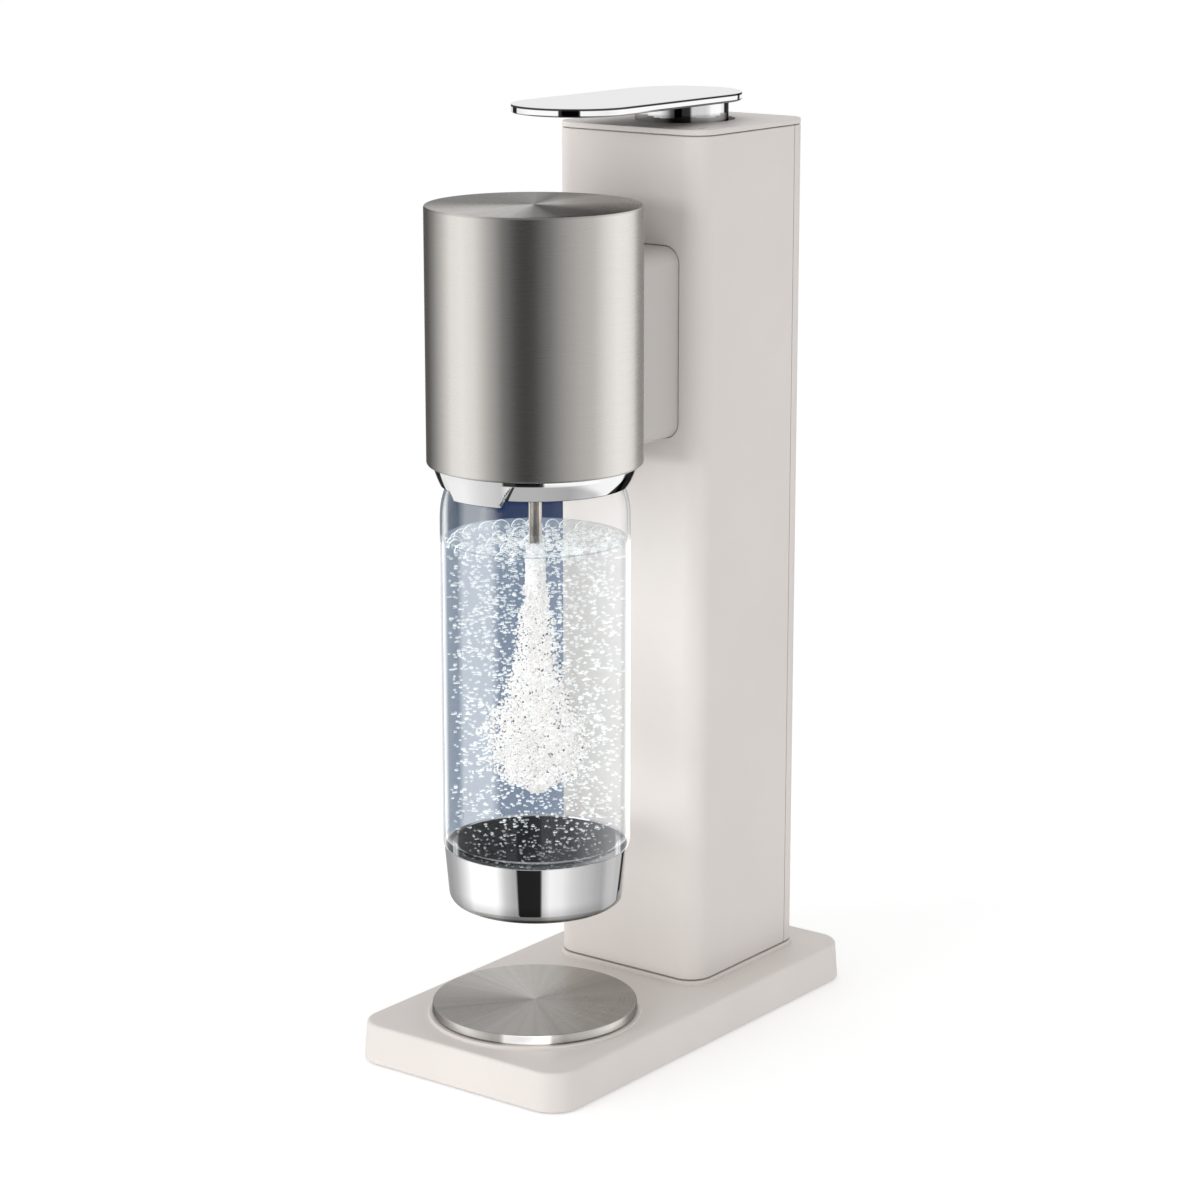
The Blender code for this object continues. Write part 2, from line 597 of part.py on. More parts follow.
def make_neck():
    low = (-NECK_HALF, AXIS_Y + 0.6 * HEAD_RADIUS, NECK_FOOT)
    high = (NECK_HALF, NECK_BACK, NECK_FOOT + NECK_COVER_HEIGHT)
    cover = tube_shell("neck_cover", low, high, CREAM, NECK_CORNER, COLUMN_WALL, along="Y")
    span = {"y": AXIS_Y, "segments": 48}
    change(cover, rod("head_round", HEAD_RADIUS + NECK_SEAM, 0, COLUMN_TOP, None, **span))

    arm_top = ARM_FOOT + ARM_HEIGHT
    low = (-ARM_HALF, AXIS_Y + 0.6 * HEAD_RADIUS, ARM_FOOT)
    arm = block("bridge_arm", low, (ARM_HALF, NECK_BACK, arm_top), FRAME_PAINT, 2 * MM, steps=1, along="Y")
    bore = ARM_HALF - ARM_WALL
    low = (-bore, AXIS_Y, ARM_FOOT + ARM_WALL)
    high = (bore, COLUMN_FRONT + 20 * MM, arm_top - ARM_WALL)
    arm_bore = block("arm_bore", low, high, None)
    change(arm, arm_bore)
    change(arm, rod("frame_round", FRAME_RADIUS + TOUCH, 0, COLUMN_TOP, None, **span))


def make_head():
    edge = 1.0 * MM
    roll = 1.5 * MM
    profile = [(0, HEAD_TOP)] + arc(HEAD_RADIUS - edge, HEAD_TOP - edge, edge, 90, 0, 3)
    profile += arc(HEAD_RADIUS - roll, HEAD_RIM + roll, roll, 0, -90, 3)
    profile += [(HEAD_BORE - 0.9 * MM, HEAD_RIM + 0.7 * MM), (HEAD_BORE, HEAD_RIM + 2 * MM)]
    profile += [(HEAD_BORE, HEAD_TOP - HEAD_WALL), (0, HEAD_TOP - HEAD_WALL)]
    shell = turned("head_shell", profile, STEEL, y=AXIS_Y, segments=48)
    gap = 0.5 * MM
    low = (-ARM_HALF - gap, AXIS_Y, ARM_FOOT - gap)
    high = (ARM_HALF + gap, COLUMN_FRONT, ARM_FOOT + ARM_HEIGHT + gap)
    change(shell, block("arm_window", low, high, None))

    top = HEAD_TOP - HEAD_WALL - TOUCH
    inner = FRAME_RADIUS - FRAME_WALL
    deck_top = DECK_FOOT + FRAME_DECK
    profile = [(inner, top), (FRAME_RADIUS, top), (FRAME_RADIUS, DECK_FOOT)]
    profile += [(DECK_BORE, DECK_FOOT), (DECK_BORE, deck_top), (inner, deck_top)]
    frame = turned("head_frame", profile, FRAME_PAINT, y=AXIS_Y, ring=True, segments=40)
    bore = rod("yoke_bore", PIVOT_PIN_RADIUS + RUNNING, -60 * MM, 60 * MM, None, y=AXIS_Y, z=PIVOT,
               along="X", segments=16)
    for side in (-1, 1):
        x_ends = sorted((side * YOKE_X, side * (YOKE_X + YOKE_THICKNESS)))
        low = (x_ends[0], AXIS_Y - YOKE_HALF, PIVOT - YOKE_HALF)
        high = (x_ends[1], AXIS_Y + YOKE_HALF, DECK_FOOT + 1 * MM)
        change(frame, block(f"yoke_{side}", low, high, None), "UNION")
    change(frame, bore)
    hole = ARM_HALF - ARM_WALL
    low = (-hole, AXIS_Y + 0.5 * FRAME_RADIUS, deck_top)
    high = (hole, COLUMN_FRONT, ARM_FOOT + ARM_HEIGHT - ARM_WALL)
    change(frame, block("frame_window", low, high, None))
    notch = {"x": -HOSE_DOWN, "y": AXIS_Y, "segments": 16}
    low = DECK_FOOT - 1 * MM
    change(frame, rod("hose_notch", HOSE_RADIUS + 1 * MM, low, deck_top + TOUCH, None, **notch))

    head = YOKE_X + YOKE_THICKNESS + TOUCH
    for side, name in ((-1, "pivot_pin_left"), (1, "pivot_pin_right")):
        profile = [(0, head + 1.5 * MM), (PIVOT_PIN_RADIUS + 1 * MM, head + 1.5 * MM)]
        profile += [(PIVOT_PIN_RADIUS + 1 * MM, head), (PIVOT_PIN_RADIUS, head)]
        profile += [(PIVOT_PIN_RADIUS, BOSS_INNER + 0.5 * MM), (0, BOSS_INNER + 0.5 * MM)]
        pin = turned(name, profile, ZINC, y=AXIS_Y, z=PIVOT, segments=16)
        pin.rotation_euler = (0, side * math.pi / 2, 0)


# ---------------------------------------------------------------- holder, nozzle and bottle


def sphere_point(radius, height):
    return (math.sqrt(radius**2 - height**2), height)


def make_holder():
    top = math.degrees(math.asin(HOLDER_ABOVE / HOLDER_RADIUS))
    foot = -math.degrees(math.asin(HOLDER_BELOW / HOLDER_RADIUS))
    inner_top = math.degrees(math.asin(HOLDER_ABOVE / HOLDER_BORE))
    inner_foot = -math.degrees(math.asin(HOLDER_BELOW / HOLDER_BORE))
    profile = arc(0, 0, HOLDER_RADIUS, top, foot, 6) + arc(0, 0, HOLDER_BORE, inner_foot, inner_top, 4)
    where = {"y": AXIS_Y, "z": PIVOT, "parent": HOLDER_AXIS}
    holder = turned("bottle_holder", profile, CHROME, ring=True, **where)

    # The thumb tab is a steeper ring that leaves the bowl, kept only where a tapered wedge crosses it.
    root = sphere_point(HOLDER_RADIUS, -TAB_ROOT)
    foot_radius = root[0] - TAB_TAPER
    middle = HOLDER_RADIUS - HOLDER_WALL / 2
    tab_profile = [root, (foot_radius, -TAB_DROP), (foot_radius - HOLDER_WALL, -TAB_DROP)]
    for drop in (HOLDER_BELOW - 0.5 * MM, (HOLDER_BELOW + TAB_ROOT) / 2, TAB_ROOT):
        tab_profile.append(sphere_point(middle, -drop))
    tab = turned("tab_ring", tab_profile, None, y=AXIS_Y, z=PIVOT, ring=True)
    wedge = bpy.data.meshes.new("tab_wedge")
    bm = bmesh.new()
    bmesh.ops.create_cube(bm, size=1)
    wedge_height = TAB_DROP - TAB_ROOT + 2 * MM
    for vert in bm.verts:
        half = TAB_HALF_TOP if vert.co.z > 0 else TAB_HALF_FOOT
        vert.co = (math.copysign(half, vert.co.x), vert.co.y * HOLDER_RADIUS, vert.co.z * wedge_height)
    bm.to_mesh(wedge)
    bm.free()
    wedge_z = PIVOT - (TAB_DROP + TAB_ROOT) / 2
    wedge_tool = add("tab_wedge", wedge, None, (0, AXIS_Y - HOLDER_RADIUS, wedge_z))
    change(tab, wedge_tool, "INTERSECT")
    change(holder, tab, "UNION")

    bore = NECK_BEAD + 0.4 * MM
    web_foot = 2 * MM
    web_top = web_foot + WEB_THICKNESS
    web_radius = sphere_point(HOLDER_BORE, web_top)[0] - TOUCH
    high = web_foot + CARRIER_HEIGHT
    profile = [(bore, high), (CARRIER_RADIUS, high), (CARRIER_RADIUS, web_top), (web_radius, web_top)]
    profile += [(web_radius, web_foot), (bore, web_foot)]
    carrier = turned("holder_carrier", profile, BLACK, ring=True, segments=40, **where)
    pivot_bore = bpy.data.objects["yoke_bore"]
    for side in (-1, 1):
        x_ends = sorted((side * BOSS_INNER, side * (YOKE_X - 0.5 * MM)))
        low = (x_ends[0], AXIS_Y - BOSS_HALF, PIVOT - BOSS_HALF)
        tall = (x_ends[1], AXIS_Y + BOSS_HALF, PIVOT + web_top)
        change(carrier, block(f"boss_{side}", low, tall, None), "UNION")
        x_ends = sorted((side * (YOKE_X - 0.3 * MM), side * HEAD_RADIUS))
        slot = YOKE_HALF + 3 * MM
        low = (x_ends[0], AXIS_Y - slot, PIVOT - 20 * MM)
        tall = (x_ends[1], AXIS_Y + slot, PIVOT + web_top + 5 * MM)
        change(carrier, block(f"yoke_slot_{side}", low, tall, None))
    change(carrier, pivot_bore)


def make_nozzle():
    where = {"y": AXIS_Y, "z": PIVOT, "parent": HOLDER_AXIS}
    seal_foot = MOUTH_RISE + TOUCH
    seal_top = seal_foot + SEAL_THICKNESS
    hollow("bottle_seal", NECK_RADIUS - 0.5 * MM, TUBE_RADIUS + 1 * MM, seal_foot, seal_top, SILICONE,
           segments=24, **where)
    foot = seal_top + TOUCH
    flange = foot + 4.2 * MM
    top = foot + NOZZLE_HEIGHT
    fit = TUBE_RADIUS + TOUCH
    profile = [(0, top), (NOZZLE_RADIUS - 4 * MM, top), (NOZZLE_RADIUS, top - 4 * MM)]
    profile += [(NOZZLE_RADIUS, flange), (NECK_BEAD + 0.1 * MM, flange), (NECK_BEAD + 0.1 * MM, foot)]
    profile += [(fit, foot), (fit, foot + 10 * MM), (0, foot + 10 * MM)]
    turned("nozzle_body", profile, BLACK, segments=20, **where)
    tube_foot = MOUTH_RISE - TUBE_DROP
    tube_top = foot + 10 * MM - TOUCH
    hollow("nozzle_tube", TUBE_RADIUS, TUBE_BORE, tube_foot, tube_top, STEEL, segments=20, **where)
    tip_foot = tube_foot - 7 * MM
    tip_top = tip_foot + TIP_LENGTH
    jet = 0.8 * MM
    profile = [(fit, tip_top), (TIP_RADIUS, tip_top), (TIP_RADIUS, tip_foot + 2 * MM)]
    profile += [(TIP_RADIUS - 1.5 * MM, tip_foot), (jet, tip_foot), (jet, tube_foot - 3 * MM)]
    profile += [(TUBE_BORE, tube_foot - TOUCH), (fit, tube_foot - TOUCH)]
    turned("nozzle_tip", profile, BLACK, ring=True, segments=14, **where)


def shoulder(radius, low, high, neck, steps=6):
    """Points from the neck's foot down over a bottle's rounded shoulder."""
    points = []
    for i in range(steps + 1):
        rise = 1 - i / steps
        reach = 1 - rise**2.5
        points.append((neck + (radius - neck) * reach, low + (high - low) * rise))
    return points


def make_bottle():
    where = {"y": AXIS_Y, "z": CUP_FOOT, "parent": BOTTLE_AXIS}
    mouth = BOTTLE_HEIGHT
    neck_foot = mouth - NECK_LENGTH
    shoulder_foot = mouth - SHOULDER_DROP
    ledge = neck_foot + 4 * MM
    cup_inner = BOTTLE_RADIUS - CUP_RIM_INSET - CUP_WALL - TOUCH
    foot_radius = BOTTLE_RADIUS - CUP_FOOT_INSET - CUP_WALL - TOUCH - 1 * MM
    foot = CUP_WALL + TOUCH
    step = CUP_HEIGHT + TOUCH
    skin = BOTTLE_RADIUS - 0.3 * MM
    profile = [(NECK_BORE, mouth), (NECK_RADIUS, mouth), (NECK_RADIUS, ledge + 3 * MM)]
    profile += [(NECK_BEAD, ledge + 2 * MM), (NECK_BEAD, ledge), (NECK_RADIUS, ledge - 1 * MM)]
    profile += shoulder(BOTTLE_RADIUS, shoulder_foot, neck_foot, NECK_RADIUS)
    profile += [(skin, step), (cup_inner, step)]
    profile += arc(foot_radius - CUP_ROUND, foot + CUP_ROUND, CUP_ROUND, 0, -90, 3)
    profile += [(0, foot)]
    wall = BOTTLE_WALL
    inside = [(0, foot + wall)]
    inside += arc(foot_radius - CUP_ROUND, foot + CUP_ROUND, CUP_ROUND - wall, -90, 0, 2)
    inside += [(cup_inner - wall, step + wall), (skin - wall, step + 3 * wall)]
    inner = shoulder(BOTTLE_RADIUS - wall, shoulder_foot, neck_foot - wall, NECK_BORE, 4)
    inside += inner[::-1]
    turned("bottle_body", profile + inside, CLEAR, ring=True, segments=40, **where)

    low_radius = BOTTLE_RADIUS - CUP_FOOT_INSET
    rim_radius = BOTTLE_RADIUS - CUP_RIM_INSET
    edge = CUP_ROUND
    profile = [(rim_radius - CUP_WALL, CUP_HEIGHT), (rim_radius, CUP_HEIGHT)]
    profile += arc(low_radius - edge, edge, edge, 0, -90, 3) + [(0, 0), (0, CUP_WALL)]
    profile += arc(low_radius - edge, edge, edge - CUP_WALL, -90, 0, 3)
    turned("bottle_cup", profile, CHROME, ring=True, segments=40, **where)


# ---------------------------------------------------------------- gas cylinder and valves


def make_cylinder():
    y = CYLINDER_Y
    radius = CYLINDER_RADIUS
    neck_foot = CYLINDER_TOP - 8 * MM
    shoulder_drop = 20 * MM
    profile = [(8 * MM, CYLINDER_TOP), (CYLINDER_NECK, CYLINDER_TOP), (CYLINDER_NECK, neck_foot)]
    body_top = neck_foot - shoulder_drop
    for i in range(1, 4):
        angle = math.radians(90 - 90 * i / 3)
        reach = CYLINDER_NECK + (radius - CYLINDER_NECK) * math.cos(angle)
        profile.append((reach, body_top + shoulder_drop * math.sin(angle)))
    foot = CYLINDER_FOOT
    wall = CYLINDER_WALL
    profile += arc(radius - 5 * MM, foot + 5 * MM, 5 * MM, 0, -90, 3)
    profile += [(radius - 12 * MM, foot), (radius - 15 * MM, foot + 2 * MM), (0, foot + 5 * MM)]
    profile += [(0, foot + 5 * MM + wall), (radius - 15 * MM, foot + 2 * MM + wall)]
    profile += [(radius - wall, foot + 10 * MM), (radius - wall, body_top - 2 * MM)]
    profile += [(8 * MM, neck_foot - 2 * MM)]
    turned("gas_cylinder", profile, ALLOY, y=y, ring=True, segments=28)

    shank_foot = neck_foot
    hex_foot = CYLINDER_TOP + TOUCH
    hex_top = hex_foot + 15 * MM
    bore = VALVE_PIN_RADIUS + 0.4 * MM
    bore_foot = VALVE_TOP - 18 * MM
    profile = [(bore, VALVE_TOP), (VALVE_RADIUS - 0.8 * MM, VALVE_TOP), (VALVE_RADIUS, VALVE_TOP - 0.8 * MM)]
    profile += [(VALVE_RADIUS, hex_top), (CYLINDER_NECK, hex_top), (CYLINDER_NECK, hex_foot)]
    profile += [(8 * MM - TOUCH, hex_foot), (8 * MM - TOUCH, shank_foot), (0, shank_foot)]
    profile += [(0, bore_foot), (bore, bore_foot)]
    turned("cylinder_valve", profile, BRASS, y=y, ring=True, segments=16)

    pin_top = VALVE_TOP + VALVE_PIN_SHOW
    pin_foot = bore_foot + 4 * MM
    where = {"y": y, "z": PLUNGER_TOP, "parent": PLUNGER_AXIS, "segments": 16}
    rod("valve_pin", VALVE_PIN_RADIUS, pin_foot - PLUNGER_TOP, pin_top - PLUNGER_TOP, ZINC, **where)

    outer = CRADLE_RADIUS
    inner = CRADLE_BORE
    low = CRADLE_FOOT
    profile = [(inner, low + CRADLE_HEIGHT), (outer, low + CRADLE_HEIGHT), (outer, low), (0, low)]
    profile += [(0, low + CRADLE_WALL), (inner, low + CRADLE_WALL)]
    turned("cylinder_cradle", profile, BLACK, y=y, ring=True, segments=32)

    clip_top = CLIP_LEVEL + CLIP_HEIGHT
    clip = hollow("cylinder_clip", outer, inner, CLIP_LEVEL, clip_top, BLACK, y=y, segments=32)
    stem_low = (-10 * MM, CHASSIS_FRONT + CHASSIS_WALL + TOUCH, CLIP_LEVEL)
    stem_high = (10 * MM, y - inner - 0.2 * MM, clip_top)
    change(clip, block("clip_stem", stem_low, stem_high, None), "UNION")
    mouth_low = (-radius * 0.75, y + radius * 0.5, CLIP_LEVEL - 5 * MM)
    mouth_high = (radius * 0.75, y + 2 * radius, clip_top + 5 * MM)
    change(clip, block("clip_mouth", mouth_low, mouth_high, None))


def make_valve_block():
    y = CYLINDER_Y
    low = (-BLOCK_HALF, CHASSIS_FRONT + CHASSIS_WALL + TOUCH, BLOCK_FOOT)
    high = (BLOCK_HALF, LEVER_PIVOT_Y + BRACKET_HALF + 0.9 * MM, BLOCK_TOP)
    body = block("valve_block", low, high, BLACK, 3 * MM, steps=2)
    socket = VALVE_RADIUS + 0.4 * MM
    profile = [(0, BLOCK_TOP + 1 * MM), (PLUNGER_RADIUS + 0.5 * MM, BLOCK_TOP + 1 * MM)]
    profile += [(PLUNGER_RADIUS + 0.5 * MM, VALVE_TOP + TOUCH), (socket, VALVE_TOP + TOUCH)]
    profile += [(socket, BLOCK_FOOT - 1 * MM), (0, BLOCK_FOOT - 1 * MM)]
    change(body, turned("valve_socket", profile, None, y=y, segments=24))

    where = {"y": y, "z": PLUNGER_TOP, "parent": PLUNGER_AXIS, "segments": 16}
    stem_foot = VALVE_TOP + VALVE_PIN_SHOW + TOUCH
    profile = [(0, PLUNGER_TOP), (PLUNGER_RADIUS, PLUNGER_TOP), (PLUNGER_RADIUS, FLANGE_TOP)]
    profile += [(PLUNGER_FLANGE, FLANGE_TOP), (PLUNGER_FLANGE, FLANGE_FOOT), (PLUNGER_RADIUS, FLANGE_FOOT)]
    profile += [(PLUNGER_RADIUS, stem_foot), (0, stem_foot)]
    turned("plunger", lowered(profile, PLUNGER_TOP), ZINC, **where)
    spring_low = BLOCK_TOP + TOUCH
    spring_high = FLANGE_FOOT - TOUCH
    coil("return_spring", 0, y, spring_low, spring_high, 4.9 * MM, 0.5 * MM, 4, ZINC)

    x = RELIEF_X
    y = COLUMN_FRONT + RELIEF_BACK
    here = {"x": x, "y": y, "z": BLOCK_TOP, "segments": 16}
    wall = 1.5 * MM
    inner = RELIEF_RADIUS - wall
    high = 15.7 * MM
    profile = [(1.6 * MM, high), (RELIEF_RADIUS - 1 * MM, high), (RELIEF_RADIUS, high - 1 * MM)]
    profile += [(RELIEF_RADIUS, TOUCH), (inner, TOUCH), (inner, high - wall), (1.6 * MM, high - wall)]
    turned("relief_body", profile, BRASS, ring=True, **here)
    profile = [(0, 9 * MM), (1.2 * MM, 9 * MM), (1.2 * MM, 3.6 * MM), (3.8 * MM, 3.6 * MM)]
    profile += [(3.8 * MM, 2 * TOUCH), (0, 2 * TOUCH)]
    turned("relief_poppet", profile, ZINC, parent=RELIEF_AXIS, **here)
    low = BLOCK_TOP + 3.6 * MM + TOUCH
    spring_top = BLOCK_TOP + high - wall - TOUCH
    coil("relief_spring", x, y, low, spring_top, 2.8 * MM, 0.4 * MM, 3, ZINC)


def make_hose():
    y = COLUMN_FRONT + HOSE_BACK
    foot = BLOCK_FOOT - TOUCH
    profile = [(0, foot), (4.5 * MM, foot), (4.5 * MM, foot - 3.5 * MM), (3 * MM, foot - 3.5 * MM)]
    profile += [(3 * MM, foot - 8 * MM), (0, foot - 8 * MM)]
    turned("hose_fitting", profile, BRASS, x=-HOSE_X, y=y, segments=16)
    swivel_x = -HOSE_DOWN
    low = (swivel_x - 2.8 * MM, AXIS_Y - 3.4 * MM, PIVOT - 3.6 * MM)
    high = (swivel_x + 2.3 * MM, AXIS_Y + 3.4 * MM, PIVOT + 6 * MM)
    block("hose_swivel", low, high, BRASS, 1.2 * MM, steps=2)

    start = foot - 8 * MM - TOUCH
    level = ARM_FOOT + 0.42 * ARM_HEIGHT
    last = PIVOT + 6 * MM + TOUCH
    knots = [
        (-HOSE_X, y, start),
        (-HOSE_X, y, start - 12 * MM),
        (-HOSE_X, y - 2 * MM, level + 9 * MM),
        (-HOSE_X + 4 * MM, COLUMN_FRONT, level + 1 * MM),
        (-HOSE_X + 4 * MM, AXIS_Y + 52 * MM, level),
        (-HOSE_X, AXIS_Y + 40 * MM, level),
        (-HOSE_X - 14 * MM, AXIS_Y + 22 * MM, level - 1 * MM),
        (-HOSE_DOWN + 4 * MM, AXIS_Y + 8 * MM, level - 6 * MM),
        (-HOSE_DOWN + 1 * MM, AXIS_Y + 1.5 * MM, DECK_FOOT + 8 * MM),
        (-HOSE_DOWN, AXIS_Y, DECK_FOOT),
        (-HOSE_DOWN, AXIS_Y, last + 10 * MM),
        (-HOSE_DOWN, AXIS_Y, last),
    ]
    wire("gas_hose", smooth_route(knots, 3), HOSE_RADIUS, BLACK)


# ---------------------------------------------------------------- lever


def make_lever():
    where = {"y": HUB_Y, "z": LEVER_PIVOT_Z, "parent": LEVER_AXIS}
    top = LEVER_FOOT - TOUCH
    foot = CAP_TOP - HUB_SKIRT
    flare = 0.5 * MM
    inner = HUB_RADIUS - HUB_WALL
    roof = top - HUB_WALL
    profile = [(0, top), (HUB_RADIUS + flare, top), (HUB_RADIUS, top - 1.5 * MM), (HUB_RADIUS, foot)]
    profile += [(inner, foot), (inner, roof), (0, roof)]
    hub = turned("lever_hub", lowered(profile, LEVER_PIVOT_Z), CHROME, **where)
    rib_low = (-LUG_HALF + 0.5 * MM, HUB_Y + 1 * MM, LUG_FOOT + 1 * MM)
    rib_high = (LUG_HALF - 0.5 * MM, HUB_Y + inner + 0.5 * MM, roof + 0.5 * MM)
    change(hub, block("hub_rib", rib_low, rib_high, None), "UNION")
    round_eye = 4.5 * MM
    bar_high = (LUG_HALF, LEVER_PIVOT_Y + 1 * MM, LEVER_PIVOT_Z + round_eye - 0.4 * MM)
    change(hub, block("hub_bar", (-LUG_HALF, HUB_Y, LUG_FOOT), bar_high, None), "UNION")
    eye = {"y": LEVER_PIVOT_Y, "z": LEVER_PIVOT_Z, "along": "X", "segments": 20}
    eye_half = LUG_HALF - 0.4 * MM
    change(hub, rod("hub_eye", round_eye, -eye_half, eye_half, None, **eye), "UNION")
    axis = {"y": LEVER_PIVOT_Y, "z": LEVER_PIVOT_Z, "along": "X", "segments": 16}
    bore = rod("lever_bore", LEVER_PIN_RADIUS + RUNNING, -30 * MM, 30 * MM, None, **axis)
    change(hub, bore)

    half = LUG_HALF + EAR_GAP
    reach = half + EAR_THICKNESS
    foot = BLOCK_TOP + TOUCH
    low = (-reach, LEVER_PIVOT_Y - BRACKET_HALF, foot)
    high = (reach, LEVER_PIVOT_Y + BRACKET_HALF, LEVER_PIVOT_Z + 4.2 * MM)
    bracket = block("pivot_bracket", low, high, ZINC, 2 * MM, steps=1, along="X")
    slot_low = (-half, LEVER_PIVOT_Y - 20 * MM, foot + 3 * MM)
    slot_high = (half, LEVER_PIVOT_Y + 20 * MM, LEVER_PIVOT_Z + 10 * MM)
    change(bracket, block("ear_slot", slot_low, slot_high, None))
    change(bracket, bore)
    rod("lever_pin", LEVER_PIN_RADIUS, -reach - 1 * MM, reach + 1 * MM, ZINC, 0.4 * MM, **axis)

    low = (-LEVER_WIDTH / 2, AXIS_Y + LEVER_NOSE, LEVER_FOOT)
    high = (LEVER_WIDTH / 2, HUB_Y + LEVER_TAIL, LEVER_TOP)
    corner = LEVER_WIDTH / 2 - 0.05 * MM
    block("lever_plate", low, high, CHROME, corner, steps=11, top=0.3 * MM, foot=1.0 * MM, parent=LEVER_AXIS)


make_base()
make_drip_disc()
make_column()
make_cap()
make_chassis()
make_neck()
make_head()
make_holder()
make_nozzle()
make_bottle()
make_cylinder()
make_valve_block()
make_hose()
make_lever()
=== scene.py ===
"""Looks of the soda carbonator: finer pieces round the fixed frame, their finishes and a plain studio.

Metres, +Z up, in the frame's own axes. Sizes are read from the frame's nodes.
"""

import json
import math
import random

import bmesh
import bpy
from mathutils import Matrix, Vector


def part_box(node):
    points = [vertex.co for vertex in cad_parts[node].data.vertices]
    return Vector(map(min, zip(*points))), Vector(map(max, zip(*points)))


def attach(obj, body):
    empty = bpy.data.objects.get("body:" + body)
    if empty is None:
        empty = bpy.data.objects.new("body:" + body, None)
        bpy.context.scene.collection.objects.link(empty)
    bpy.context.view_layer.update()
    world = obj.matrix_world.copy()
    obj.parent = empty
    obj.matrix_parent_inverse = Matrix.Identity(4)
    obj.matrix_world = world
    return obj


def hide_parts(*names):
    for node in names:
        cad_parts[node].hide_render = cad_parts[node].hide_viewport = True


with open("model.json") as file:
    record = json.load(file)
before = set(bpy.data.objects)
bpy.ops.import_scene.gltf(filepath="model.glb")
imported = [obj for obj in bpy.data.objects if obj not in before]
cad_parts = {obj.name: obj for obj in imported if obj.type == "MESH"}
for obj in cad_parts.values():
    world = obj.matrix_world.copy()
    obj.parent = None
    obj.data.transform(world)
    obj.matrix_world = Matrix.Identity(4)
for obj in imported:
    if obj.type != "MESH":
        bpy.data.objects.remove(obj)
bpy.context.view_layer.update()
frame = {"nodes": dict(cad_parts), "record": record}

MM = 0.001

# ---------------------------------------------------------------- shader maths


class Value:
    """One socket of a finish. Arithmetic on it adds Math nodes."""

    def __init__(self, look, socket):
        self.look = look
        self.socket = socket

    def math(self, operation, *terms):
        made = self.look.tree.nodes.new("ShaderNodeMath")
        made.operation = operation
        for entry, term in zip(made.inputs, terms):
            self.look.feed(entry, term)
        return Value(self.look, made.outputs[0])

    def __add__(self, other):
        return self.math("ADD", self, other)

    def __sub__(self, other):
        return self.math("SUBTRACT", self, other)

    def __rsub__(self, other):
        return self.math("SUBTRACT", other, self)

    def __mul__(self, other):
        return self.math("MULTIPLY", self, other)

    def __truediv__(self, other):
        return self.math("DIVIDE", self, other)

    def __pow__(self, other):
        return self.math("POWER", self, other)

    def above(self, low, high):
        """0 below one level, 1 above another, and smooth between them."""
        ends = {"From Min": low, "From Max": high}
        return self.look.node("ShaderNodeMapRange", {"interpolation_type": "SMOOTHSTEP"}, Value=self, **ends)

    __radd__ = __add__
    __rmul__ = __mul__


